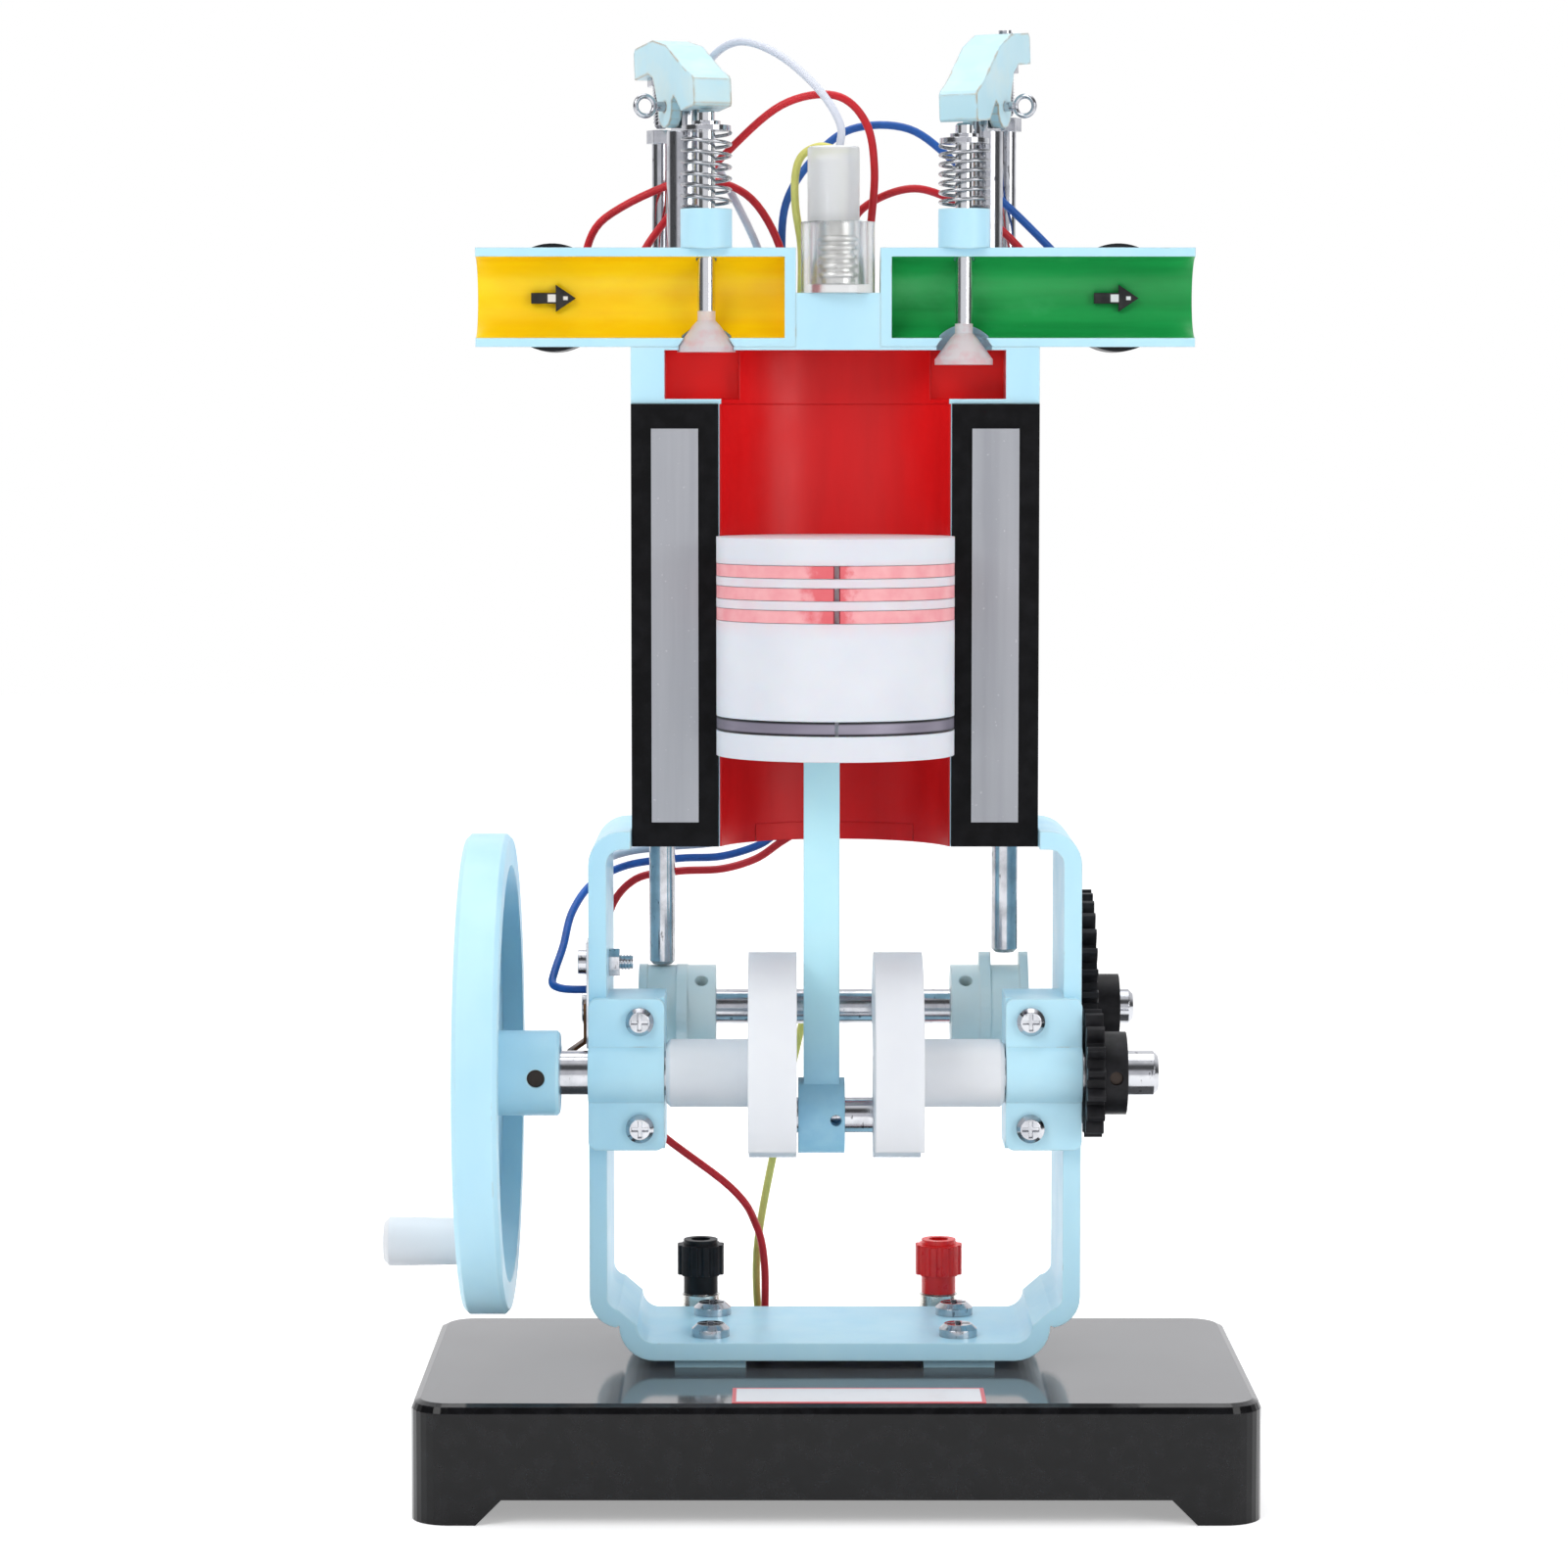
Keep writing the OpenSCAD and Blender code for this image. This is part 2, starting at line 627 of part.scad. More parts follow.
module crankcase_frame() {
  color(blue) difference() {
    union() {
      xz_plate(frame_front_y, frame_back_y) difference() {
        frame_outline(0);
        frame_outline(frame_wall);
      }
      on_both_sides() box([pad_x - pad_w / 2, frame_front_y + 2, base_h],
        [pad_x + pad_w / 2, frame_back_y - 2, frame_z + cut]);
      on_both_sides() yz_plate(bearing_in_x, frame_half_w - cut)
        translate([crank_y + bearing_d / 2, crank_z]) square([bearing_d, cap_h], center = true);
    }
    along_x(shaft_hole_d, -frame_half_w - cut, frame_half_w + cut, crank_y, crank_z);
    along_x(cam_shaft_d + 2 * shaft_fit, -frame_half_w - cut, frame_half_w + cut, cam_y, cam_z);
    box([-block_half_w - seat_gap, frame_front_y - cut, block_low_z - cut],
      [block_half_w + seat_gap, notch_back_y, frame_top_z + cut]);
    upright(bore_d, block_low_z - cut, frame_top_z + cut, 0, crank_y);
    on_both_sides() upright(tappet_hole_d, block_low_z - cut, frame_top_z + cut, pushrod_x, cam_y);
    frame_screw_places() upright(frame_screw_d + 2 * screw_fit, -cut, frame_lift + frame_wall + cut, 0, 0);
    cap_screw_places() upright(cap_screw_d + 2 * screw_fit, -cap_screw_len - 1, cut, 0, 0);
    along_x(bolt_d + 2 * screw_fit, -frame_half_w - cut, -frame_in_x + cut, bracket_y, bolt_z);
  }
}

// Bearing caps, children of the screw places point to the front with their seat on the cap's face
module cap_screw_places() {
  for (side = [-1, 1], z = [-cap_screw_up, cap_screw_up])
    translate([side * cap_screw_x, frame_front_y, crank_z + z]) rotate([90, 0, 0]) children();
}

module bearing_cap(side) {
  color(blue) on_side(side) difference() {
    union() {
      translate([0, frame_front_y - cap_t, 0]) rotate([90, 0, 0]) mirror([0, 0, 1]) linear_extrude(cap_t)
        translate([bearing_in_x + cap_w / 2, crank_z]) round_rect(cap_w, cap_h, 2);
      intersection() {
        along_x(crank_d + 2 * cap_bulge_wall, bearing_in_x, frame_half_w, crank_y, crank_z);
        box([0, crank_y - crank_d - 5, crank_z - cap_h], [frame_half_w, frame_front_y, crank_z + cap_h]);
      }
    }
    along_x(shaft_hole_d, bearing_in_x - cut, frame_half_w + cut, crank_y, crank_z);
    for (z = [-cap_screw_up, cap_screw_up])
      along_y(cap_screw_d + 2 * screw_fit, frame_front_y - cap_t - cut, frame_front_y + cut,
        cap_screw_x, crank_z + z);
  }
}

module left_bearing_cap() { bearing_cap(-1); }

module right_bearing_cap() { bearing_cap(1); }

module cap_screws() {
  color(steel) cap_screw_places() translate([0, 0, cap_t])
    pan_screw(cap_screw_d, 6.3, 2.2, cap_t + cap_screw_len);
}

// The cylinder block: a jacket behind the cut face, with a flange that stands on the frame
module cylinder_block() {
  color(blue) difference() {
    union() {
      intersection() {
        upright(2 * jacket_r, frame_top_z, block_top_z, 0, crank_y);
        box([-jacket_r, cut_y, frame_top_z], [jacket_r, crank_y + jacket_r + 1, block_top_z]);
      }
      box([-block_half_w, cut_y, block_low_z], [block_half_w, notch_back_y - seat_gap, frame_top_z + cut]);
      box([-block_half_w, cut_y, frame_top_z], [block_half_w, frame_back_y, frame_top_z + flange_h]);
    }
    upright(bore_d, block_low_z - cut, block_top_z + cut, 0, crank_y);
    on_both_sides() upright(tappet_hole_d, frame_top_z - cut, frame_top_z + flange_h + cut, pushrod_x, cam_y);
  }
}

// Black plates on the cut faces
module section_plates() {
  color(black) on_both_sides()
    box([plate_in_x, cut_y - plate_t, block_low_z], [block_half_w, cut_y, block_top_z]);
}

// Grey strips that stand for the water jacket
module jacket_strips() {
  color([0.61, 0.62, 0.65]) on_both_sides()
    box([plate_in_x + strip_side, cut_y - plate_t - strip_t, block_low_z + strip_end],
      [block_half_w - strip_side, cut_y - plate_t, block_top_z - strip_end]);
}

// The head, with its open combustion chamber and saddles for the pipes
module cylinder_head() {
  color(blue) difference() {
    union() {
      box([-block_half_w, cut_y, block_top_z], [block_half_w, cut_y + head_d, head_shoulder_z]);
      box([plug_left_x, cut_y, block_top_z + cut], [plug_right_x, cut_y + head_d, plug_floor_z]);
      on_both_sides() box([pivot_x - 6, cut_y + head_d - 14, block_top_z + cut],
        [pivot_x + 6, cut_y + head_d, pipe_z + pipe_d / 2]);
    }
    on_both_sides() box([pocket_in_x, cut_y - cut, chamber_z],
      [chamber_half_w, cut_y + chamber_d, chamber_top_z]);
    upright(bore_d, block_top_z - cut, chamber_top_z, 0, crank_y);
    along_x(pipe_d, -pipe_reach, plug_left_x, cut_y, pipe_z);
    along_x(pipe_d, plug_right_x, pipe_reach, cut_y, pipe_z);
    on_both_sides() valve_port();
    on_both_sides() upright(post_d, pipe_z, pipe_z + pipe_d / 2 + cut, pivot_x, pivot_y);
  }
}

// The flared hole over a valve's cone
module valve_port() {
  flare_z = valve_face_z + valve_rim_h;
  upright(port_d, chamber_top_z - cut, flare_z, valve_x, valve_y);
  translate([valve_x, valve_y, flare_z - cut])
    cylinder(d1 = port_d + run_gap, d2 = stem_d + 2 * valve_neck + 3 * run_gap,
      h = valve_cone_h - valve_rim_h);
}

// A pipe cut open at the front, with its inner end closed and a port for the valve
module pipe(inner_x) {
  difference() {
    intersection() {
      along_x(pipe_d, inner_x, pipe_reach, cut_y, pipe_z);
      box([inner_x, cut_y, pipe_z - pipe_d], [pipe_reach, cut_y + pipe_d, pipe_z + pipe_d]);
    }
    along_x(pipe_d - 2 * pipe_wall, inner_x + pipe_end_t, pipe_reach + cut, cut_y, pipe_z);
    valve_port();
    upright(stem_d + 2 * run_gap, pipe_z, pipe_z + pipe_d, valve_x, valve_y);
  }
}

module intake_pipe() {
  color([0.95, 0.73, 0.05]) on_side(-1) pipe(-plug_left_x);
}

module exhaust_pipe() {
  color([0.06, 0.48, 0.21]) pipe(plug_right_x);
}

// Flat arrows that lie in the pipes and show the flow
module flow_arrows() {
  arrow_y = cut_y + pipe_d / 2 - pipe_wall - arrow_t - 0.6;
  color(black) for (x = [-lamp_x, lamp_x])
    xz_plate(arrow_y, arrow_y + arrow_t) translate([x, pipe_z])
      polygon([[-arrow_half, -arrow_shaft], [arrow_neck, -arrow_shaft], [arrow_neck, -arrow_head],
        [arrow_half, 0], [arrow_neck, arrow_head], [arrow_neck, arrow_shaft], [-arrow_half, arrow_shaft]]);
}

// Round lamp housings seated on the backs of the pipes
module lamp_housings() {
  color(black) difference() {
    on_both_sides() along_y(lamp_d, cut_y + 2, lamp_back_y, lamp_x, pipe_z);
    along_x(pipe_d, -pipe_reach, pipe_reach, cut_y, pipe_z);
  }
}

// Guides on the pipes' tops, which carry the valve stems and the springs
module valve_guides() {
  color(blue) difference() {
    on_both_sides() upright(guide_d, pipe_z + 2, guide_top_z, valve_x, valve_y);
    along_x(pipe_d, -pipe_reach, pipe_reach, cut_y, pipe_z);
    on_both_sides() upright(stem_hole_d, pipe_z, guide_top_z + cut, valve_x, valve_y);
    box([-pipe_reach, valve_y - guide_d, pipe_z], [pipe_reach, cut_y, pipe_z + pipe_d / 2 - 2]);
  }
}

// Posts for the rockers, with a flat tang at the top
module at_pivot() {
  translate([pivot_x, pivot_y, pivot_z]) rotate(arm_turn) children();
}

module rocker_posts() {
  shoulder_z = pivot_z - 5.5;
  color(steel) on_both_sides() difference() {
    union() {
      upright(post_d, pipe_z, shoulder_z, pivot_x, pivot_y);
      at_pivot() intersection() {
        translate([0, 0, -6]) cylinder(d = post_d, h = 9.5);
        cube([post_d, tang_t, 30], center = true);
      }
    }
    at_pivot() along_y(split_pin_d, -10, 10, 0, 0);
  }
}

// Split pins: a straight leg through the fork, with a ring outside
module split_pins() {
  pin_half = rocker_w / 2 + 1.2;
  ring_d = 5;
  ring_wire = 1.2;
  color(steel) on_both_sides() at_pivot() union() {
    along_y(split_pin_d, -pin_half - 1, pin_half + 0.5, 0, 0);
    translate([0, -pin_half - 1 - ring_d / 2, 0]) rotate([0, 90, 0])
      rotate_extrude() translate([ring_d / 2 - ring_wire / 2 + 0.3, 0]) circle(d = ring_wire, $fn = 16);
  }
}

// The plug: a clear socket with a lamp in it, and a clear cap
module plug_socket() {
  color([0.9, 0.92, 0.93, 0.6]) difference() {
    upright(socket_d, plug_floor_z, plug_floor_z + socket_h, plug_x, plug_y);
    upright(lamp_cap_d + 2 * run_gap, plug_floor_z + lamp_seat, plug_floor_z + socket_h + cut,
      plug_x, plug_y);
  }
}

module plug_lamp() {
  thread_pitch = 2;
  color([0.9, 0.82, 0.62]) translate([plug_x, plug_y, plug_floor_z + lamp_seat]) union() {
    cylinder(d = lamp_cap_d - 1.2, h = socket_h - lamp_seat);
    for (i = [1 : 5]) translate([0, 0, i * thread_pitch]) rotate_extrude()
      translate([lamp_cap_d / 2 - 0.7, 0]) circle(d = 1.4, $fn = 16);
  }
}

module plug_cap() {
  rim = 0.4;
  color([0.92, 0.93, 0.95, 0.6]) translate([plug_x - 1, plug_y, plug_floor_z + socket_h]) difference() {
    union() {
      cylinder(d = plug_cap_d, h = plug_cap_h - rim);
      translate([0, 0, plug_cap_h - rim]) cylinder(d1 = plug_cap_d, d2 = plug_cap_d - 2 * rim, h = rim);
    }
    translate([0, 0, -cut]) cylinder(d = plug_cap_d - 4, h = plug_cap_h - 3);
  }
}

// The contact on the left wall: bracket, copper leaf and bolt
module contact_bracket() {
  color(steel) difference() {
    box([-frame_half_w - bracket_t, bracket_y - bracket_half_w, bracket_z - 16],
      [-frame_half_w, bracket_y + bracket_half_w, bracket_z + 8]);
    along_x(bolt_d + 2 * screw_fit, -frame_half_w - 2 * bracket_t, -frame_half_w + cut, bracket_y, bolt_z);
  }
}

module contact_leaf() {
  leaf_x = -frame_half_w - bracket_t;
  color([0.55, 0.32, 0.16]) xz_plate(bracket_y - leaf_half_w, bracket_y + leaf_half_w)
    polygon([[leaf_x, bracket_z - 6], [leaf_x, bracket_z - 15], [leaf_x - 4.2, bracket_z - 18],
      [leaf_x - 4.7, bracket_z - 17.4], [leaf_x - leaf_t, bracket_z - 14.6],
      [leaf_x - leaf_t, bracket_z - 6]]);
}

module contact_bolt() {
  color(steel) union() {
    along_x(bolt_d, -frame_half_w - bracket_t, -frame_in_x + bolt_end, bracket_y, bolt_z);
    along_x(bolt_head_d, -frame_half_w - bracket_t - bolt_head_h, -frame_half_w - bracket_t,
      bracket_y, bolt_z);
    translate([-frame_in_x, bracket_y, bolt_z]) rotate([0, 90, 0])
      cylinder(d = bolt_nut_d, h = bolt_nut_h, $fn = 6);
  }
}

// Binding posts behind the frame
module terminal_places() {
  for (side = [-1, 1]) translate([terminal_mid_x + side * terminal_x, terminal_y, base_h]) children();
}

module terminal_bodies() {
  color([0.8, 0.7, 0.4]) terminal_places() difference() {
    union() {
      cylinder(d = terminal_foot_d, h = terminal_foot_h);
      translate([0, 0, -base_wall - 3]) cylinder(d = terminal_stud_d, h = base_wall + 4);
      cylinder(d = terminal_neck_d, h = terminal_body_h);
    }
    translate([0, 0, socket_floor]) cylinder(d = terminal_bore_d, h = terminal_body_h);
  }
}

module terminal_cap(side) {
  flutes = 12;
  flute_d = 1.8;
  flute_out = 0.4;
  cap_low = terminal_foot_h + run_gap;
  translate([terminal_mid_x + side * terminal_x, terminal_y, base_h + cap_low]) difference() {
    union() {
      cylinder(d = terminal_skirt_d, h = terminal_skirt_h + cut);
      translate([0, 0, terminal_skirt_h]) cylinder(d = terminal_d, h = terminal_cap_h);
      translate([0, 0, terminal_skirt_h + terminal_cap_h - cut])
        cylinder(d = terminal_skirt_d, h = terminal_collar_h + cut);
    }
    for (i = [0 : flutes - 1]) rotate(360 / flutes * i)
      translate([terminal_d / 2 + flute_out, 0, terminal_skirt_h - cut])
        cylinder(d = flute_d, h = terminal_cap_h + 2 * cut);
    translate([0, 0, -cut])
      cylinder(d = terminal_neck_d + 2 * slide_fit, h = terminal_body_h - cap_low + run_gap + cut);
    cylinder(d = terminal_bore_d + 2 * run_gap, h = 2 * terminal_body_h);
  }
}

module black_terminal_cap() { color(black) terminal_cap(-1); }

module red_terminal_cap() { color([0.78, 0.08, 0.1]) terminal_cap(1); }

// Thin wires between the plug, the lamps, the contact and the binding posts
module wire(route) { tube(route, wire_d, 8); }

module upper_wires() {
  color([0.8, 0.15, 0.15]) {
    wire(wire_white);
    wire(wire_red_arc);
    wire(wire_red_loop);
    wire(wire_blue);
    wire(wire_yellow);
    wire(wire_red_low);
  }
}

module lower_wires() {
  color([0.85, 0.65, 0.1]) {
    wire(wire_post_red);
    wire(wire_post_yellow);
    wire(wire_left_blue);
    wire(wire_left_grey);
  }
}

// Valve springs: one helical tube each, with straight ends
function spring_points(h) =
  let (n = spring_curls * rings_per_curl, r = (spring_d - spring_wire) / 2,
    low = spring_wire / 2 + spring_clear,
    rise = h - spring_wire - 2 * spring_clear)
  let (helix = [for (i = [0 : n]) let (a = 360 * i / rings_per_curl)
    [r * cos(a), r * sin(a), low + rise * i / n]])
  concat([helix[0] - spring_wire * unit(helix[1] - helix[0])], helix,
    [helix[n] + spring_wire * unit(helix[n] - helix[n - 1])]);
function spring_gap(h) = let (p = spring_points(h), n = len(p))
  min([for (i = [0 : n - 1], j = [i + 5 : 1 : n - 1]) norm(p[i] - p[j])]) - spring_wire;
echo(intake_spring_gap = spring_gap(spring_len), exhaust_spring_gap = spring_gap(spring_len - valve_lift));

module valve_spring(side, h) {
  color(steel) on_side(side) translate([valve_x, valve_y, guide_top_z])
    tube(spring_points(h), spring_wire, spring_sides);
}

module intake_spring() { valve_spring(-1, spring_len); }

module exhaust_spring() { valve_spring(1, spring_len - valve_lift); }

// Crank shafts, webs, pin and key
module key_hole(gap) {
  along_x(key_d + gap, -web_out_x + key_in, -web_out_x + key_in + key_len + gap, key_y, key_z);
}

module left_crank_shaft() {
  color(steel) difference() {
    along_x(crank_d, shaft_left_x, -web_in_x - shaft_in, crank_y, crank_z);
    key_hole(2 * shaft_fit);
  }
}

module right_crank_shaft() {
  shaft_right_x = frame_half_w + shaft_free_len;
  color(steel) union() {
    along_x(crank_d, web_in_x + shaft_in, shaft_right_x - end_chamfer, crank_y, crank_z);
    x_cone(crank_d, shaft_right_x - end_chamfer, crank_y, crank_z);
  }
}

module web_outline() {
  translate([crank_y, crank_z]) rotate(crank_rest) {
    intersection() {
      circle(web_r);
      translate([-web_r, -1]) square([2 * web_r, web_r + 1]);
    }
    circle(web_pin_r);
    translate([-web_pin_r, -crank_throw]) square([2 * web_pin_r, crank_throw]);
    translate([0, -crank_throw]) circle(web_pin_r);
  }
}

module crank_web(side) {
  color(nylon) difference() {
    on_side(side) union() {
      yz_plate(web_in_x, web_out_x) web_outline();
      along_x(journal_d, web_out_x - cut, journal_end_x - end_chamfer, crank_y, crank_z);
      x_cone(journal_d, journal_end_x - end_chamfer, crank_y, crank_z);
    }
    on_side(side) along_x(crank_d, web_in_x + shaft_in, frame_half_w, crank_y, crank_z);
    along_x(crank_pin_d, -web_out_x + pin_in, web_out_x - pin_in, pin_y, pin_z);
    if (side < 0) key_hole(2 * shaft_fit);
  }
}

module left_crank_web() { crank_web(-1); }

module right_crank_web() { crank_web(1); }

module crank_pin() {
  color(steel) along_x(crank_pin_d, -web_out_x + pin_in, web_out_x - pin_in, pin_y, pin_z);
}

module web_key() {
  color(steel) along_x(key_d, -web_out_x + key_in + shaft_fit, -web_out_x + key_in + key_len, key_y, key_z);
}

// The flywheel: a dished wheel with a hub, turned on the crank axis
module flywheel() {
  rim_in_r = flywheel_d / 2 - flywheel_rim_t;
  color(blue) difference() {
    translate([rim_left_x, crank_y, crank_z]) rotate([0, 90, 0]) rotate_extrude($fn = 96)
      polygon([[crank_d / 2, 0], [flywheel_d / 2 - 1, 0], [flywheel_d / 2, 1],
        [flywheel_d / 2, flywheel_rim_w - 1], [flywheel_d / 2 - 1, flywheel_rim_w],
        [rim_in_r, flywheel_rim_w], [rim_in_r - 0.8, flywheel_web_t], [flywheel_hub_d / 2, flywheel_web_t],
        [flywheel_hub_d / 2, flywheel_rim_w + flywheel_hub_len - 0.6],
        [flywheel_hub_d / 2 - 0.6, flywheel_rim_w + flywheel_hub_len],
        [crank_d / 2, flywheel_rim_w + flywheel_hub_len]]);
    along_x(grip_pin_d, rim_left_x - cut, rim_left_x + flywheel_web_t + cut, handle_y, handle_z);
    along_y(flywheel_grub_d, crank_y - flywheel_hub_d, crank_y, hub_end_x - hub_slot, crank_z);
    along_x(crank_d, rim_left_x - cut, shaft_left_x, crank_y, crank_z);
  }
}

// The handle: a pin with a head in the flywheel, and a grip that turns on it
module handle_pin() {
  color(steel) union() {
    along_x(grip_pin_d, grip_out_x + grip_sink, rim_left_x + flywheel_web_t, handle_y, handle_z);
    along_x(grip_head_d, grip_out_x + grip_sink, grip_out_x + grip_sink + grip_head, handle_y, handle_z);
  }
}

module handle_grip() {
  color(nylon) translate([grip_out_x, handle_y, handle_z]) rotate([0, 90, 0]) rotate_extrude()
    polygon([[grip_hole_r, grip_recess], [grip_head_d / 2 + run_gap, grip_recess],
      [grip_head_d / 2 + run_gap, 0], [grip_d / 2 - 1.2, 0], [grip_d / 2, 1.2],
      [grip_d / 2 - 0.3, grip_len - 0.8],
      [grip_d / 2 - 1, grip_len], [grip_hole_r, grip_len]]);
}

// Spur gears with involute flanks
function involute(rb, r) = let (a = acos(min(1, rb / r))) tan(a) * 180 / PI - a;
function flank_half(r, rb, half, rr) = half + involute(rb, r) - involute(rb, max(rr, rb));
function gear_points(teeth) =
  let (r = gear_module * teeth / 2, rb = r * cos(pressure), root = r - 1.25 * gear_module,
    tip = r + 0.92 * gear_module, half = 90 / teeth - backlash / r / 2 * 180 / PI / 2,
    radii = [root, max(rb, root + 0.1), (rb + r) / 2 + 0.2, r + 0.3, (r + tip) / 2 + 0.2, tip])
  [for (t = [0 : teeth - 1], s = [-1, 1], k = [0 : 5])
    let (rr = s < 0 ? radii[k] : radii[5 - k], a = 360 * t / teeth + s * flank_half(r, rb, half, rr))
    [rr * cos(a), rr * sin(a)]];

module spur_gear(teeth, turn, y, z, hub_d, hub_len, hole_d) {
  difference() {
    union() {
      yz_plate(gear_x, gear_x + gear_w) translate([y, z]) rotate(turn) polygon(gear_points(teeth));
      along_x(hub_d, gear_x + gear_w - cut, gear_x + gear_w + hub_len, y, z);
    }
    along_x(hole_d, gear_x - cut, gear_x + gear_w + hub_len + cut, y, z);
  }
}

module crank_gear() {
  color(black) difference() {
    spur_gear(crank_teeth, mesh_angle, crank_y, crank_z, crank_hub_d, crank_hub_len, crank_d);
    along_y(gear_grub_d, crank_y - crank_hub_d, crank_y, gear_grub_x, crank_z);
  }
}

module cam_gear() {
  turn = mesh_angle + 180 + 180 / cam_teeth;
  color(black) spur_gear(cam_teeth, turn, cam_y, cam_z, cam_hub_d, cam_hub_len, cam_shaft_d);
}

// Grub screws that hold the flywheel and the crank gear on the shaft
module grub_screws() {
  color(steel) {
    along_y(flywheel_grub_d, crank_y - flywheel_hub_d / 2 + grub_in, crank_y - crank_d / 2 - grub_gap,
      hub_end_x - hub_slot, crank_z);
    along_y(gear_grub_d, crank_y - crank_hub_d / 2 + grub_in, crank_y - crank_d / 2 - grub_gap,
      gear_grub_x, crank_z);
  }
}

// The connecting rod, upright, with the gudgeon pin in its small end
module connecting_rod() {
  color(blue) difference() {
    union() {
      along_x(big_end_d, rod_x - big_end_w / 2, rod_x + big_end_w / 2, rod_y, pin_z);
      along_x(small_end_d, rod_x - rod_w / 2, rod_x + rod_w / 2, rod_y, gudgeon_z);
      box([rod_x - rod_w / 2, rod_y - rod_w / 2, pin_z + big_end_d / 4],
        [rod_x + rod_w / 2, rod_y + rod_w / 2, gudgeon_z - small_end_d / 4]);
    }
    along_x(crank_pin_d + 2 * shaft_fit, rod_x - big_end_w, rod_x + big_end_w, rod_y, pin_z);
    along_x(gudgeon_d, rod_x - rod_w, rod_x + rod_w, rod_y, gudgeon_z);
    along_y(oil_hole_d, rod_y - big_end_d, rod_y, rod_x + oil_hole_x, pin_z);
  }
}

module gudgeon_pin() {
  color(steel) along_x(gudgeon_d, rod_x - gudgeon_len / 2, rod_x + gudgeon_len / 2, rod_y, gudgeon_z);
}

// The piston: hollow below, with slotted bosses for the gudgeon pin
module piston() {
  cavity_d = piston_d - 2 * piston_wall;
  cavity_top_z = piston_top_z - crown_t;
  rod_room = rod_w / 2 + rod_side_gap;
  color(nylon) difference() {
    upright(piston_d, piston_low_z, piston_top_z, 0, crank_y);
    difference() {
      upright(cavity_d, piston_low_z - cut, cavity_top_z, 0, crank_y);
      difference() {
        box([rod_x - boss_out, crank_y - piston_d / 2, gudgeon_z - boss_low],
          [rod_x + boss_out, crank_y + piston_d / 2, cavity_top_z + cut]);
        box([rod_x - rod_room, crank_y - piston_d, gudgeon_z - 2 * boss_low],
          [rod_x + rod_room, crank_y + piston_d, cavity_top_z]);
        box([rod_x - piston_d, crank_y - slot_half, gudgeon_z - gudgeon_d / 2 - run_gap],
          [rod_x + piston_d, crank_y + slot_half, gudgeon_z + gudgeon_d / 2 + run_gap]);
      }
    }
    for (z = ring_z) ring_groove(z, ring_w);
    ring_groove(oil_ring_z, oil_ring_w);
  }
}

module ring_groove(z, w) {
  translate([0, crank_y, z]) difference() {
    cylinder(d = piston_d + 2, h = w);
    translate([0, 0, -cut]) cylinder(d = piston_d - 2 * ring_t, h = w + 2 * cut);
  }
}

// A split ring that fills its groove, its gap at the front
module split_ring(z, w, gap) {
  side_gap = 0.1;
  translate([0, crank_y, z + side_gap]) difference() {
    cylinder(d = piston_d - 0.1, h = w - 2 * side_gap);
    translate([0, 0, -cut]) cylinder(d = piston_d - 2 * ring_t, h = w + 2 * cut);
    translate([-gap / 2, -piston_d, -cut]) cube([gap, piston_d, w + 2 * cut]);
  }
}

module piston_rings() {
  color([0.9, 0.6, 0.62]) for (z = ring_z) split_ring(z, ring_w, 1);
}

module oil_ring() {
  color([0.3, 0.3, 0.32]) split_ring(oil_ring_z, oil_ring_w, 0.8);
}

// Camshaft and cams: two lobed cheeks beside a round groove in which the tappet stands
module camshaft() {
  color(steel) union() {
    along_x(cam_shaft_d, cam_shaft_back_x, cam_shaft_end_x - end_chamfer, cam_y, cam_z);
    x_cone(cam_shaft_d, cam_shaft_end_x - end_chamfer, cam_y, cam_z);
  }
}

module lobe_outline() {
  cheek_r = cam_r + 0.2;
  nose_r = 4;
  nose_up = lobe_r - nose_r;
  lean = asin((cheek_r - nose_r) / nose_up);
  polygon(concat(arc([0, 0], cheek_r, 180 - lean, 360 + lean, 30),
    arc([0, nose_up], nose_r, lean, 180 - lean, 12)));
}

module cam(turn) {
  color([0.88, 0.92, 0.9]) difference() {
    union() {
      along_x(2 * cam_r, cam_hub_x, groove_out_x, cam_y, cam_z);
      for (x = [[groove_in_x - cheek_in_w, groove_in_x], [groove_out_x, groove_out_x + cheek_out_w]])
        yz_plate(x[0], x[1]) translate([cam_y, cam_z]) rotate(turn) lobe_outline();
    }
    along_x(cam_shaft_d, cam_hub_x - cut, groove_out_x + cheek_out_w + cut, cam_y, cam_z);
    translate([0, cam_y, cam_z]) rotate([45, 0, 0])
      upright(gear_grub_d, cam_shaft_d / 2, 2 * cam_r, cam_hub_x + cam_hub_w / 2, 0);
  }
}

module intake_cam() { on_side(-1) cam(100); }

module exhaust_cam() { cam(0); }

// Push rods with their tappets, lifted by a share of the valve lift
module pushrod(side, lift) {
  color(steel) on_side(side) translate([pushrod_x, cam_y, lift]) union() {
    translate([0, 0, tappet_low_z]) cylinder(d1 = tappet_d - 1.6, d2 = tappet_d, h = 0.8);
    upright(tappet_d, tappet_low_z + 0.8, tappet_shoulder_z, 0, 0);
    upright(pushrod_d, tappet_shoulder_z - cut, pushrod_top_z - nut_h + cut, 0, 0);
    translate([0, 0, pushrod_top_z - nut_h]) cylinder(d = nut_d, h = nut_h, $fn = 6);
  }
}

module intake_pushrod() { pushrod(-1, 0); }

module exhaust_pushrod() { pushrod(1, valve_lift); }

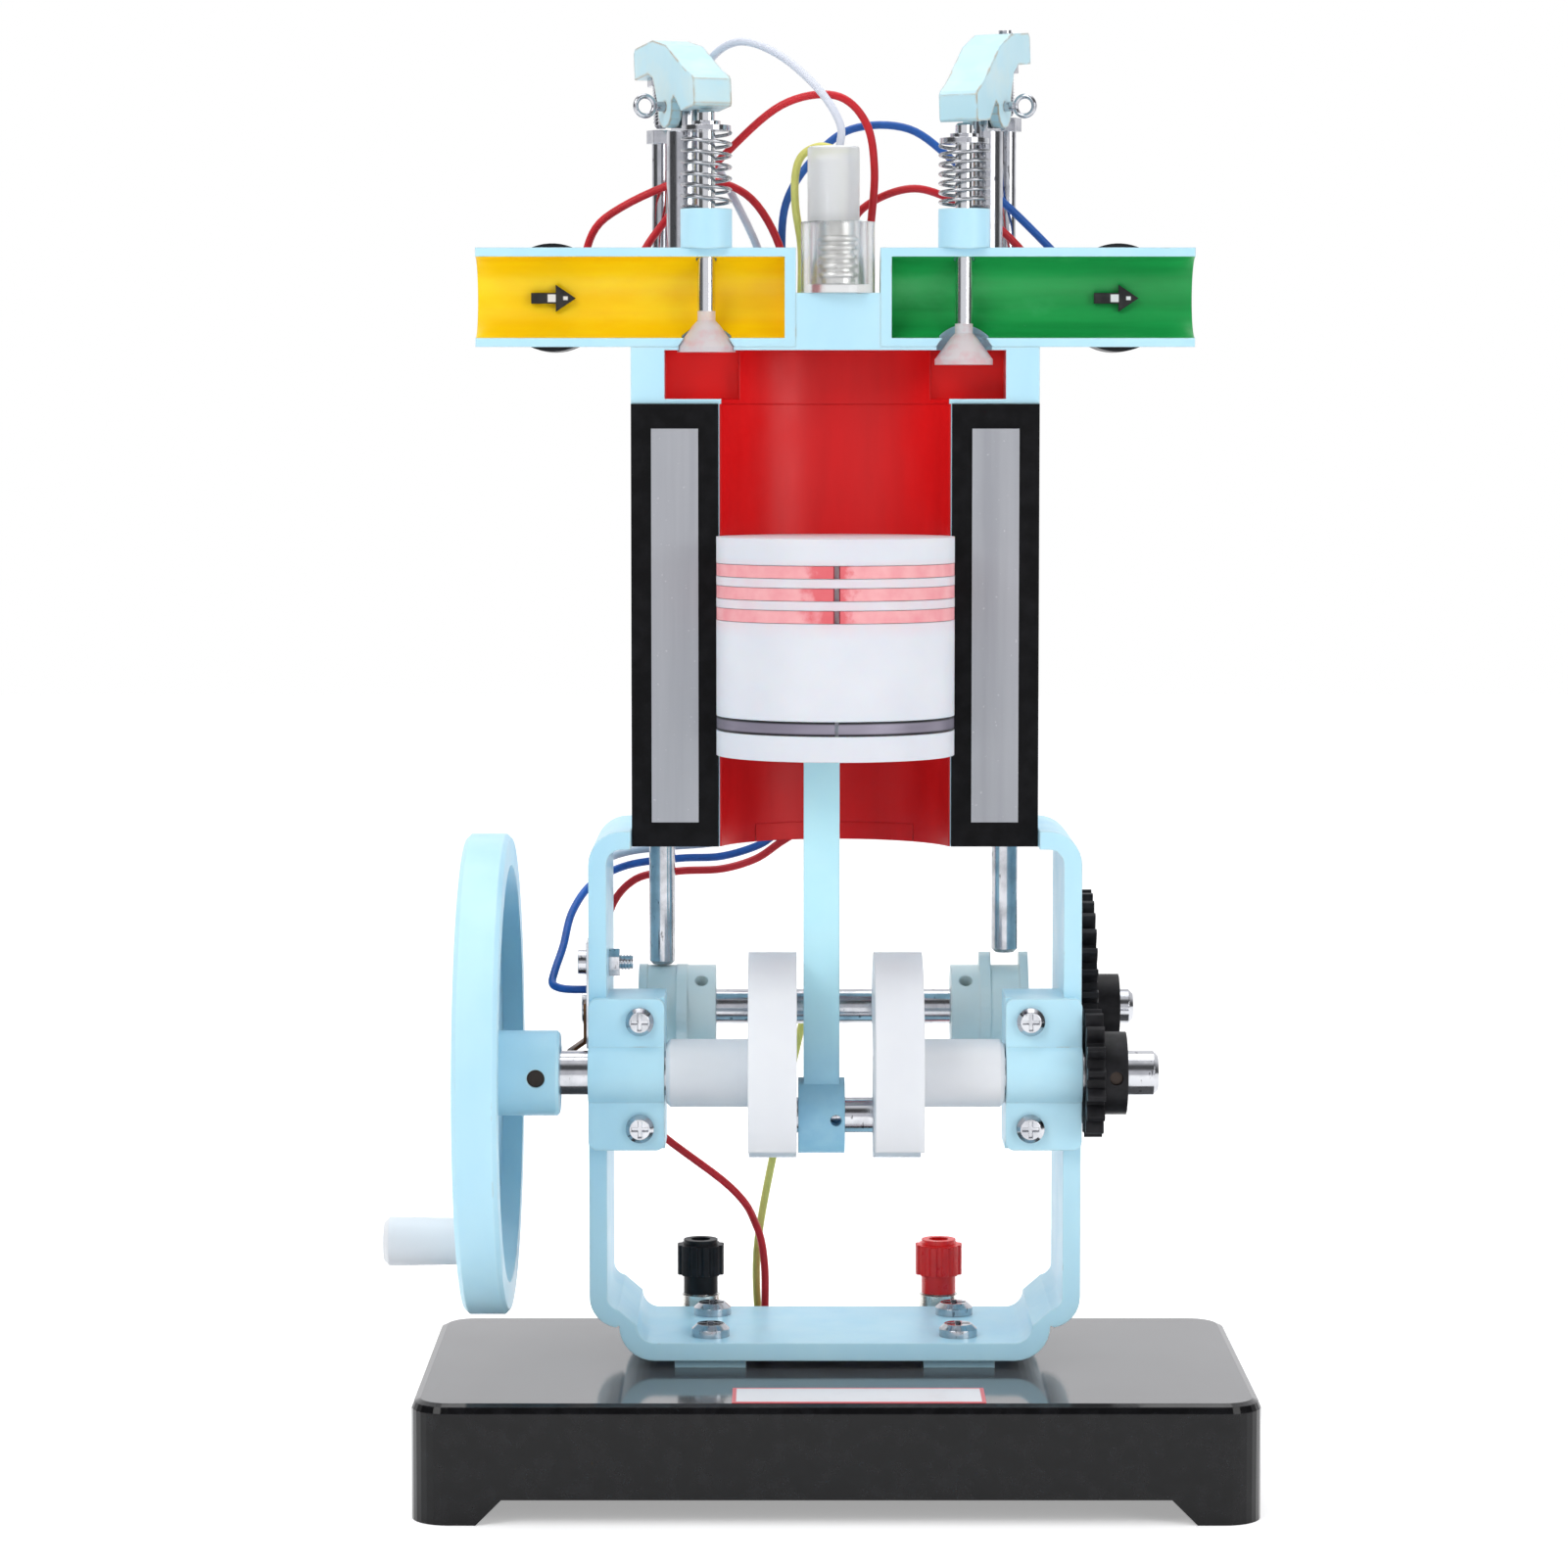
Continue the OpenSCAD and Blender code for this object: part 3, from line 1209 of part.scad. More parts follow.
// Rockers: a bent bar from the valve's nose, over the fork, to the adjuster at the tail
module rocker_outline() {
  polygon([[-rocker_reach, -nose_drop + 0.6], [-rocker_reach + 0.6, -nose_drop], [-arm + 4, -nose_drop],
    [-fork_half - 1.6, 1.5], [-fork_half, 0.5], [-fork_half, -1.5],
    each arc([0, -0.6], fork_half, 195, 345, 6),
    [fork_half, 1.5], [fork_half + 2.5, tail_low - 1.5], [arm - 4.5, tail_low], [rocker_reach, tail_low],
    [rocker_reach, tail_high - 1], [rocker_reach - 1, tail_high], [arm - 8, tail_high],
    [-2, tail_high - 2.5], [-arm + 1, 6.2], [-rocker_reach + 0.8, 4.2], [-rocker_reach, 3.4]]);
}

// Places a rocker piece on its pivot, tipped to the closed or the open valve
module at_rocker(side, tip) {
  on_side(side) at_pivot() rotate([0, tip, 0]) children();
}

module rocker(side, tip) {
  slot_w = tang_t + 2 * run_gap;
  color(blue) at_rocker(side, tip) difference() {
    xz_plate(-rocker_w / 2, rocker_w / 2) rocker_outline();
    box([-fork_half - 8, -slot_w / 2, -fork_half - 2], [fork_half + 8, slot_w / 2, fork_half + 1.6]);
    along_y(split_pin_d + 2 * shaft_fit, -rocker_w, rocker_w, 0, 0);
    upright(adjuster_d, 0, tail_high + cut, arm, 0);
  }
}

module intake_rocker() { rocker(-1, tilt); }

module exhaust_rocker() { rocker(1, -tilt); }

module adjuster(side, tip) {
  color(steel) at_rocker(side, tip) union() {
    upright(adjuster_d, -nose_drop + 0.6, tail_high + 0.8, arm, 0);
    translate([arm, 0, -nose_drop]) cylinder(d1 = adjuster_d - 1, d2 = adjuster_d, h = 0.6);
    translate([arm, 0, tail_low - 2]) cylinder(d = nut_d - 0.8, h = 2, $fn = 6);
  }
}

module intake_adjuster() { adjuster(-1, tilt); }

module exhaust_adjuster() { adjuster(1, -tilt); }

// Valves: a clear cone on a steel stem, and the retainer that holds the spring
module valve(side, drop) {
  color([0.86, 0.88, 0.9]) on_side(side) translate([valve_x, valve_y, -drop]) rotate_extrude()
    polygon([[0, valve_face_z], [valve_head_d / 2, valve_face_z],
      [valve_head_d / 2, valve_face_z + valve_rim_h],
      [stem_d / 2 + valve_neck, valve_face_z + valve_cone_h - valve_neck],
      [stem_d / 2, valve_face_z + valve_cone_h],
      [stem_d / 2, stem_top_z - 0.5], [stem_d / 2 - 0.5, stem_top_z], [0, stem_top_z]]);
}

module intake_valve() { valve(-1, 0); }

module exhaust_valve() { valve(1, valve_lift); }

module retainer(side, drop) {
  color(steel) on_side(side) translate([valve_x, valve_y, retainer_z - drop]) difference() {
    union() {
      cylinder(d = retainer_d, h = retainer_t);
      cylinder(d = stem_d + 2.4, h = retainer_t + 1);
    }
    translate([0, 0, -cut]) cylinder(d = stem_d, h = 10);
  }
}

module intake_retainer() { retainer(-1, 0); }

module exhaust_retainer() { retainer(1, valve_lift); }

base();
crankcase_frame();
frame_screws();
left_bearing_cap();
right_bearing_cap();
cap_screws();
cylinder_block();
section_plates();
jacket_strips();
cylinder_head();
intake_pipe();
exhaust_pipe();
flow_arrows();
lamp_housings();
valve_guides();
rocker_posts();
split_pins();
plug_socket();
plug_lamp();
plug_cap();
contact_bracket();
contact_leaf();
contact_bolt();
terminal_bodies();
black_terminal_cap();
red_terminal_cap();
upper_wires();
lower_wires();
intake_spring();
exhaust_spring();
left_crank_shaft();
right_crank_shaft();
left_crank_web();
right_crank_web();
crank_pin();
flywheel();
handle_pin();
handle_grip();
crank_gear();
grub_screws();
web_key();
connecting_rod();
gudgeon_pin();
piston();
piston_rings();
oil_ring();
camshaft();
intake_cam();
exhaust_cam();
cam_gear();
intake_pushrod();
exhaust_pushrod();
intake_rocker();
exhaust_rocker();
intake_adjuster();
exhaust_adjuster();
intake_valve();
exhaust_valve();
intake_retainer();
exhaust_retainer();
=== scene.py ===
"""Looks of the four-stroke engine model: materials, springs, wires, small trim, stage and camera."""
import json
import math

import bpy
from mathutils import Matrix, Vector


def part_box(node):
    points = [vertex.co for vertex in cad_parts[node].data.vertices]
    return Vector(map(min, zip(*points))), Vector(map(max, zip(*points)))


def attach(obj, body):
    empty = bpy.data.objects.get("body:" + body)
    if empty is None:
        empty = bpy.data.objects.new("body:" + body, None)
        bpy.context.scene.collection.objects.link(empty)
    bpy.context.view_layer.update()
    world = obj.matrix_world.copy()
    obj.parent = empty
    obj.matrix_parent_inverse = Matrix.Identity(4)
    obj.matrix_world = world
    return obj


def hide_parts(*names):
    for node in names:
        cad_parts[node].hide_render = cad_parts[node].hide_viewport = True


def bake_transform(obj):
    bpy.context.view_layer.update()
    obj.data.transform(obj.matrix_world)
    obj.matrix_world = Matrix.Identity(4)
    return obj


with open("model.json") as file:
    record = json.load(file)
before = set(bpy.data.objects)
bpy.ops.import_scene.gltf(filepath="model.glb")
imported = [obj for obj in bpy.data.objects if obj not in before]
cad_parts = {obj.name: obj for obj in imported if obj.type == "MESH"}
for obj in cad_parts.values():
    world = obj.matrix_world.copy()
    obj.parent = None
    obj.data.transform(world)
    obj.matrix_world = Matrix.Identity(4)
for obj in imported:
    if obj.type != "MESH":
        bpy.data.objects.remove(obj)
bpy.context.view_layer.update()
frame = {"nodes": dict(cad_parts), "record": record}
nodes = frame["nodes"]
MM = 0.001


def middle(node):
    """Centre of a CAD node's box at rest."""
    low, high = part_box(node)
    return [(a + b) / 2 for a, b in zip(low, high)]


# Places taken from the frame
base_low, base_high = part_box("base")
BASE_TOP = base_high[2]
BASE_FRONT = base_low[1]
block_low, block_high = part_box("cylinder_block")
CUT_Y = block_low[1]
BLOCK_TOP = block_high[2]
piston_low, piston_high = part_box("piston")
BORE_AXIS_Y = (piston_low[1] + piston_high[1]) / 2
BORE_GAP = 0.6 * MM
BORE_R = (piston_high[0] - piston_low[0]) / 2 + BORE_GAP
CHAMBER_H = 11.9 * MM
CHAMBER_TOP = BLOCK_TOP + CHAMBER_H
POCKET_LIP = 1.1 * MM
POCKET_FLOOR = BLOCK_TOP + POCKET_LIP
POCKET_HALF_W = 38.05 * MM
POCKET_D = 11.1 * MM
POCKET_BACK = CUT_Y + POCKET_D
pipe_low, pipe_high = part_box("intake_pipe")
PIPE_WALL = 2 * MM
PIPE_Z = (pipe_low[2] + pipe_high[2]) / 2
PIPE_IN_R = (pipe_high[2] - pipe_low[2]) / 2 - PIPE_WALL
PAINT_FADE = 0.2 * MM


# Materials


BEVEL_SAMPLES = 4
# Cosines of the normal's turn where an edge starts to show and where it shows in full
EDGE_FLAT, EDGE_SHARP = 0.995, 0.85


class Finish:
    """One procedural material, built node by node on a principled shader."""

    def __init__(self, name, **sockets):
        self.material = bpy.data.materials.new(name)
        self.material.use_nodes = True
        self.tree = self.material.node_tree
        self.shader = self.tree.nodes["Principled BSDF"]
        self.place = self.node("ShaderNodeTexCoord").outputs["Object"]
        for key, value in sockets.items():
            self.shader.inputs[key.replace("_", " ")].default_value = value

    def node(self, kind, **settings):
        made = self.tree.nodes.new(kind)
        for key, value in settings.items():
            setattr(made, key, value)
        return made

    def feed(self, socket, value):
        """Sets a socket to a number or colour, or links it to an output."""
        if isinstance(value, bpy.types.NodeSocket):
            self.tree.links.new(value, socket)
        else:
            socket.default_value = value

    def wire(self, name, value):
        self.feed(self.shader.inputs[name], value)

    def math(self, operation, a, b=0.0, clamp=False):
        made = self.node("ShaderNodeMath", operation=operation, use_clamp=clamp)
        self.feed(made.inputs[0], a)
        self.feed(made.inputs[1], b)
        return made.outputs[0]

    def axis(self, letter):
        made = self.node("ShaderNodeSeparateXYZ")
        self.feed(made.inputs[0], self.place)
        return made.outputs[letter]

    def noise(self, scale, detail=3.0, roughness=0.55, stretch=(1, 1, 1)):
        """Noise whose features are about 1/scale metres across, drawn out by stretch."""
        mapping = self.node("ShaderNodeMapping")
        self.feed(mapping.inputs["Vector"], self.place)
        mapping.inputs["Scale"].default_value = [scale / s for s in stretch]
        made = self.node("ShaderNodeTexNoise")
        self.feed(made.inputs["Vector"], mapping.outputs[0])
        made.inputs["Scale"].default_value = 1.0
        made.inputs["Detail"].default_value = detail
        made.inputs["Roughness"].default_value = roughness
        return made.outputs["Fac"]

    def remap(self, value, low, high, to_low=0.0, to_high=1.0):
        made = self.node("ShaderNodeMapRange")
        self.feed(made.inputs["Value"], value)
        made.inputs["From Min"].default_value = low
        made.inputs["From Max"].default_value = high
        made.inputs["To Min"].default_value = to_low
        made.inputs["To Max"].default_value = to_high
        return made.outputs["Result"]

    def mix(self, share, a, b):
        made = self.node("ShaderNodeMix", data_type="RGBA")
        self.feed(made.inputs["Factor"], share)
        colours = [s for s in made.inputs if s.type == "RGBA"]
        self.feed(colours[0], a)
        self.feed(colours[1], b)
        return [s for s in made.outputs if s.type == "RGBA"][0]

    def near(self, value, centre, half, soft=0.0001):
        """1 within half of centre, 0 outside."""
        off = self.math("ABSOLUTE", self.math("SUBTRACT", value, centre))
        return self.remap(off, half + soft, half - soft)

    def within_round(self, a, b, centre, radius, soft=0.00005):
        """1 nearer to an axis than radius; a and b are the two coordinates across it."""
        across = [self.math("POWER", self.math("SUBTRACT", v, c), 2.0) for v, c in zip((a, b), centre)]
        reach = self.math("SQRT", self.math("ADD", *across))
        return self.remap(reach, radius + soft, radius - soft)

    def edges(self, radius):
        """1 along sharp edges, from how far a bevel turns the normal."""
        soft = self.node("ShaderNodeBevel", samples=BEVEL_SAMPLES)
        soft.inputs["Radius"].default_value = radius
        geometry = self.node("ShaderNodeNewGeometry")
        dot = self.node("ShaderNodeVectorMath", operation="DOT_PRODUCT")
        self.feed(dot.inputs[0], soft.outputs[0])
        self.feed(dot.inputs[1], geometry.outputs["Normal"])
        return self.remap(dot.outputs["Value"], EDGE_FLAT, EDGE_SHARP)

    def surface(self, height, strength, distance, soften=0.0):
        """Bump from a height, over edges that are softened by a radius."""
        bump = self.node("ShaderNodeBump")
        bump.inputs["Strength"].default_value = strength
        bump.inputs["Distance"].default_value = distance
        self.feed(bump.inputs["Height"], height)
        if soften:
            soft = self.node("ShaderNodeBevel", samples=BEVEL_SAMPLES)
            soft.inputs["Radius"].default_value = soften
            self.feed(bump.inputs["Normal"], soft.outputs[0])
        self.wire("Normal", bump.outputs[0])


BLUE = (0.50, 0.78, 0.90, 1)
BLUE_DEEP = (0.44, 0.73, 0.88, 1)
BLUE_PALE = (0.64, 0.86, 0.93, 1)
STAIN = (0.42, 0.30, 0.16, 1)
RED = (0.74, 0.010, 0.012, 1)
RED_DARK = (0.58, 0.006, 0.008, 1)


def blue_colour(finish):
    """Moulded light blue with faint flow marks, paler at the edges and stained in a few spots on them."""
    flow = finish.noise(60, stretch=(1, 1, 3))
    colour = finish.mix(finish.remap(flow, 0.35, 0.7), BLUE, BLUE_DEEP)
    edge = finish.edges(0.0006)
    colour = finish.mix(finish.math("MULTIPLY", edge, 0.55), colour, BLUE_PALE)
    spots = finish.remap(finish.noise(170), 0.64, 0.72)
    return finish.mix(finish.math("MULTIPLY", finish.math("MULTIPLY", edge, spots), 0.5), colour, STAIN)


def plastic(name):
    """A blue moulded plastic with a satin skin and soft edges, ready for a colour."""
    finish = Finish(name, Subsurface_Weight=0.12, Subsurface_Radius=(0.5, 0.8, 1.0), Subsurface_Scale=0.003,
                    Specular_IOR_Level=0.3)
    skin = finish.noise(900, detail=2)
    finish.wire("Roughness", finish.remap(finish.noise(120), 0.3, 0.7, 0.28, 0.42))
    finish.surface(skin, 0.06, 0.0002, soften=0.0005)
    return finish


def blue_plastic():
    finish = plastic("blue_plastic")
    finish.wire("Base Color", blue_colour(finish))
    return finish.material


def stained_plastic():
    """Milky blue plastic, yellowed in patches, with brown oil stains along its edges."""
    finish = plastic("rocker_plastic")
    milky = finish.mix(finish.remap(finish.noise(70), 0.3, 0.7), (0.49, 0.71, 0.78, 1), (0.43, 0.66, 0.74, 1))
    yellowed = finish.remap(finish.noise(90, detail=4), 0.5, 0.75)
    milky = finish.mix(finish.math("MULTIPLY", yellowed, 0.4), milky, (0.66, 0.70, 0.62, 1))
    oil = finish.math("MULTIPLY", finish.edges(0.001), finish.remap(finish.noise(160, detail=5), 0.38, 0.54))
    finish.wire("Base Color", finish.mix(finish.math("MULTIPLY", oil, 0.9), milky, (0.46, 0.27, 0.10, 1)))
    return finish.material


def red_colour(finish):
    """Brushed red paint, thinner in streaks."""
    streaks = finish.noise(90, stretch=(1, 1, 7), detail=4)
    return finish.mix(finish.remap(streaks, 0.35, 0.75), RED, RED_DARK)


def painted_block():
    """Blue plastic whose bore is painted red."""
    finish = plastic("painted_block")
    bore = finish.within_round(finish.axis("X"), finish.axis("Y"), (0, BORE_AXIS_Y), BORE_R)
    finish.wire("Base Color", finish.mix(bore, blue_colour(finish), red_colour(finish)))
    return finish.material


def painted_frame():
    """Blue plastic, red where the bore runs through its upper plate, close under the block."""
    finish = plastic("painted_frame")
    bore = finish.within_round(finish.axis("X"), finish.axis("Y"), (0, BORE_AXIS_Y), BORE_R)
    plate = finish.remap(finish.axis("Z"), block_low[2] - 2 * MM, block_low[2] - 1 * MM)
    painted = finish.math("MULTIPLY", bore, plate)
    finish.wire("Base Color", finish.mix(painted, blue_colour(finish), red_colour(finish)))
    return finish.material


SOAK_START = 32 * MM
SOAK_FULL = 8 * MM


def rod_plastic():
    """Blue plastic that deepens towards the rod's big end, where oil has soaked in. Its clear blue is set
    brighter than the other blue parts: painted light against the shade the rod sits in.
    """
    finish = plastic("rod_plastic")
    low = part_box("connecting_rod")[0][2]
    soaked = finish.remap(finish.axis("Z"), low + SOAK_START, low + SOAK_FULL)
    drops = finish.remap(finish.noise(110, detail=4), 0.35, 0.65, 0.55, 1.0)
    deep = finish.math("MULTIPLY", finish.math("MULTIPLY", soaked, drops), 0.85)
    # Clear blue set brighter and more saturated than the other blues: painted light for the shade behind the
    # piston and plates
    clear = finish.mix(finish.remap(finish.noise(60), 0.35, 0.7),
                       (0.55, 0.89, 0.99, 1), (0.51, 0.86, 0.98, 1))
    finish.wire("Base Color", finish.mix(deep, clear, (0.26, 0.56, 0.80, 1)))
    return finish.material


def painted_head():
    """Blue plastic painted red inside: the bore's upper end and the two valve pockets beside it. The pockets'
    even red is set brighter than the bore's: painted light against the shade in the pockets.
    """
    finish = plastic("painted_head")
    behind = finish.remap(finish.axis("Y"), CUT_Y + PAINT_FADE, CUT_Y + 2 * PAINT_FADE)
    roof = finish.remap(finish.axis("Z"), CHAMBER_TOP + PAINT_FADE, CHAMBER_TOP)
    bore = finish.within_round(finish.axis("X"), finish.axis("Y"), (0, BORE_AXIS_Y), BORE_R)
    across = finish.near(finish.axis("X"), 0.0, POCKET_HALF_W)
    above = finish.remap(finish.axis("Z"), POCKET_FLOOR - PAINT_FADE, POCKET_FLOOR)
    deep = finish.remap(finish.axis("Y"), POCKET_BACK + PAINT_FADE, POCKET_BACK)
    pocket = finish.math("MULTIPLY", finish.math("MULTIPLY", across, above), deep)
    inside = finish.math("MULTIPLY", finish.math("MULTIPLY", behind, roof),
                         finish.math("MAXIMUM", bore, pocket))
    # The pockets' flat red (0.85) is brighter than the bore's streaked red: painted light lifting the shade
    # they sit in
    red = finish.mix(bore, (0.85, 0.008, 0.008, 1), red_colour(finish))
    finish.wire("Base Color", finish.mix(inside, blue_colour(finish), red))
    return finish.material


def painted_pipe(name, light, dark, thin):
    """Blue pipe with brushed paint inside, thinner in clouds."""
    finish = plastic(name)
    streaks = finish.noise(140, stretch=(14, 1, 1), detail=5)
    clouds = finish.noise(75, stretch=(1.6, 1, 1), detail=5)
    paint = finish.mix(finish.remap(streaks, 0.3, 0.72), light, dark)
    paint = finish.mix(finish.remap(clouds, 0.52, 0.72, 0.0, 0.5), paint, thin)
    worn = finish.remap(finish.noise(240, stretch=(3, 1, 1)), 0.72, 0.8)
    paint = finish.mix(finish.math("MULTIPLY", worn, 0.6), paint, BLUE_PALE)
    inside = finish.within_round(finish.axis("Y"), finish.axis("Z"), (CUT_Y, PIPE_Z), PIPE_IN_R + 0.0001)
    behind = finish.remap(finish.axis("Y"), CUT_Y + 0.0001, CUT_Y + 0.0003)
    finish.wire("Base Color", finish.mix(finish.math("MULTIPLY", inside, behind), blue_colour(finish), paint))
    return finish.material


def nylon(name, light, dark):
    """Milky nylon with turned marks."""
    finish = Finish(name, Subsurface_Weight=0.25, Subsurface_Radius=(1.0, 1.0, 1.1), Subsurface_Scale=0.004)
    finish.wire("Base Color", finish.mix(finish.remap(finish.noise(45), 0.35, 0.7), light, dark))
    finish.wire("Roughness", finish.remap(finish.noise(300), 0.3, 0.7, 0.36, 0.52))
    finish.surface(finish.noise(700, stretch=(6, 1, 1)), 0.05, 0.0002, soften=0.0005)
    return finish.material


def black_plastic(name, low_gloss, high_gloss, grain, shine=0.15, shade=1.0, dust_and_sheen=0.0, coat=0.0):
    """Black moulding with fine grain, rubbed edges and, where asked, a pale film on top that is partly dust
    and partly painted sheen, and a thin coat.
    """
    finish = Finish(name, Specular_IOR_Level=shine, Coat_Weight=coat, Coat_IOR=1.25, Coat_Roughness=0.06)
    rubbed = finish.math("MULTIPLY", finish.edges(0.0005), 0.35)
    dark, light = ([level * shade for level in (grey, grey, grey * 1.15)] + [1] for grey in (0.004, 0.009))
    black = finish.mix(finish.remap(finish.noise(260), 0.4, 0.75), dark, light)
    if dust_and_sheen:
        split = finish.node("ShaderNodeSeparateXYZ")
        finish.feed(split.inputs[0], finish.node("ShaderNodeNewGeometry").outputs["Normal"])
        # Paler film on faces that look up: partly dust, partly painted sheen for the bright surroundings the
        # top reflects
        film = finish.math("MULTIPLY", finish.remap(split.outputs["Z"], 0.9, 0.99),
                           finish.remap(finish.noise(35, detail=5), 0.3, 0.7, 0.7 * dust_and_sheen, dust_and_sheen))
        black = finish.mix(film, black, (0.30, 0.30, 0.31, 1))
    finish.wire("Base Color", finish.mix(rubbed, black, (0.05, 0.05, 0.055, 1)))
    finish.wire("Roughness", finish.remap(finish.noise(150, detail=5), 0.3, 0.7, low_gloss, high_gloss))
    finish.surface(finish.noise(grain), 0.05, 0.0002, soften=0.0004)
    return finish.material


def grey_film():
    """Grey painted strip with faint brush lines and specks."""
    finish = Finish("grey_film", Metallic=0.35)
    lines = finish.noise(160, stretch=(1, 1, 25), detail=4)
    grey = finish.mix(finish.remap(lines, 0.3, 0.7), (0.32, 0.33, 0.36, 1), (0.42, 0.43, 0.46, 1))
    specks = finish.remap(finish.noise(1100, detail=1), 0.74, 0.78)
    finish.wire("Base Color", finish.mix(finish.math("MULTIPLY", specks, 0.5), grey, (0.6, 0.6, 0.62, 1)))
    finish.wire("Roughness", finish.remap(lines, 0.3, 0.7, 0.4, 0.55))
    finish.surface(lines, 0.08, 0.0001)
    return finish.material


SMEAR_LEFT = (-7.5 * MM, -4.0 * MM)
SMEAR_RIGHT = (3.5 * MM, 1.0 * MM)
SMEAR_DEPTH = 5 * MM
SMEAR_WOBBLE = 14 * MM
SPLIT_HALF = 0.75 * MM


def pink_ring():
    """Pink paint, with a bright red smear that ends at the rings' split."""
    finish = Finish("pink_ring", Roughness=0.5, Specular_IOR_Level=0.3)
    pale = finish.mix(finish.remap(finish.noise(200), 0.3, 0.7), (0.80, 0.30, 0.33, 1), (0.86, 0.42, 0.44, 1))
    wobble = finish.math("MULTIPLY", finish.math("SUBTRACT", finish.noise(300, detail=5), 0.5), SMEAR_WOBBLE)
    along = finish.math("ADD", finish.axis("X"), wobble)
    smear = finish.math("MULTIPLY", finish.remap(along, *SMEAR_LEFT), finish.remap(along, *SMEAR_RIGHT))
    front = finish.remap(finish.axis("Y"), BORE_AXIS_Y, BORE_AXIS_Y - SMEAR_DEPTH)
    smear = finish.math("MULTIPLY", finish.math("MULTIPLY", smear, front), 0.85)
    colour = finish.mix(smear, pale, (0.70, 0.10, 0.12, 1))
    split = finish.math("MULTIPLY", finish.near(finish.axis("X"), 0.0, SPLIT_HALF), front)
    finish.wire("Base Color", finish.mix(split, colour, (0.22, 0.01, 0.02, 1)))
    finish.surface(finish.noise(800), 0.08, 0.0001)
    return finish.material


TINGE_BELOW = 3.5 * MM
TINGE_ABOVE = 1.5 * MM


def stained_piston():
    """White nylon, tinged pink by the rings around and below them."""
    finish = Finish("stained_piston", Subsurface_Weight=0.2, Subsurface_Scale=0.003, Specular_IOR_Level=0.35)
    low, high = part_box("piston_rings")
    white = finish.mix(finish.remap(finish.noise(45), 0.35, 0.7),
                       (0.72, 0.74, 0.79, 1), (0.67, 0.69, 0.75, 1))
    band = finish.math("MULTIPLY", finish.remap(finish.axis("Z"), low[2] - TINGE_BELOW, low[2]),
                       finish.remap(finish.axis("Z"), high[2] + TINGE_ABOVE, high[2]))
    rubbed = finish.math("MULTIPLY", band, finish.remap(finish.noise(120, detail=5), 0.3, 0.7, 0.12, 0.5))
    finish.wire("Base Color", finish.mix(rubbed, white, (0.80, 0.50, 0.54, 1)))
    finish.wire("Roughness", finish.remap(finish.noise(300), 0.3, 0.7, 0.36, 0.52))
    finish.surface(finish.noise(700, stretch=(1, 1, 0.2)), 0.05, 0.0002, soften=0.0005)
    return finish.material


RING_PAINTED_SHADE = 0.45 * MM


def dark_ring():
    """A dark steel oil ring with a purple cast, and painted shade along its upper and lower edges where the
    groove's shadow falls.
    """
    finish = Finish("dark_ring", Metallic=0.6)
    low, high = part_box("oil_ring")
    middle_z, half = (low[2] + high[2]) / 2, (high[2] - low[2]) / 2
    grey = finish.mix(finish.remap(finish.noise(160, stretch=(6, 6, 1)), 0.35, 0.7),
                      (0.20, 0.18, 0.24, 1), (0.30, 0.28, 0.34, 1))
    # Painted shade: near black along the ring's top and bottom, for the shadow in the groove
    unshaded = finish.near(finish.axis("Z"), middle_z, half - RING_PAINTED_SHADE, soft=0.00015)
    finish.wire("Base Color", finish.mix(unshaded, (0.02, 0.02, 0.025, 1), grey))
    finish.wire("Roughness", finish.remap(finish.noise(300), 0.3, 0.7, 0.3, 0.45))
    return finish.material


ARROW_HALF = 5 * MM
# Each painted glint's place along the arrow, half length and half height, in mm
ARROW_GLINTS = ((-0.4, 0.9, 0.85), (2.7, 0.5, 0.4))


def painted_glint_arrows():
    """Black arrows with two pale patches in each: painted reflections of the glass of the lamp that stands
    behind them.
    """
    finish = Finish("painted_glint_arrows", Roughness=0.35, Specular_IOR_Level=0.25)
    low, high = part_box("flow_arrows")
    painted_glints = 0.0
    for centre in (low[0] + ARROW_HALF, high[0] - ARROW_HALF):
        for place, half_x, half_z in ARROW_GLINTS:
            glint = finish.math("MULTIPLY", finish.near(finish.axis("X"), centre + place * MM, half_x * MM),
                               finish.near(finish.axis("Z"), (low[2] + high[2]) / 2, half_z * MM))
            painted_glints = finish.math("MAXIMUM", glint, painted_glints)
    black = finish.mix(finish.remap(finish.noise(400), 0.4, 0.7),
                       (0.012, 0.012, 0.013, 1), (0.03, 0.03, 0.03, 1))
    # Pale grey patches painted on the black stand for reflections on the lamp glass
    finish.wire("Base Color", finish.mix(painted_glints, black, (0.72, 0.74, 0.76, 1)))
    finish.surface(finish.noise(900), 0.05, 0.0002, soften=0.0003)
    return finish.material


def metal(name, colour, shade, low, high, stretch=(1, 1, 1), pitted=0.0):
    """Plated metal with fine drawing marks, dull patches and, where pitted, dark specks."""
    finish = Finish(name, Metallic=1.0)
    patches = finish.noise(180, stretch=stretch, detail=5)
    plated = finish.mix(finish.remap(patches, 0.4, 0.75), colour, shade)
    if pitted:
        specks = finish.remap(finish.noise(850, stretch=(1, 1, 2.5), detail=2), 0.66, 0.72)
        plated = finish.mix(finish.math("MULTIPLY", specks, pitted), plated, (0.10, 0.10, 0.11, 1))
    finish.wire("Base Color", plated)
    finish.wire("Roughness", finish.remap(patches, 0.3, 0.75, low, high))
    finish.surface(finish.noise(1500, stretch=stretch), 0.04, 0.0001, soften=0.00025)
    return finish.material


def clear_plastic(name, clear, low, high):
    """Clear moulding, milkier where less of the light passes through."""
    finish = Finish(name, Base_Color=(0.90, 0.91, 0.92, 1), Transmission_Weight=clear, IOR=1.42,
                    Specular_IOR_Level=0.4)
    finish.wire("Roughness", finish.remap(finish.noise(90), 0.3, 0.7, low, high))
    return finish.material


VALVE_CONE_TOP = 9.2 * MM


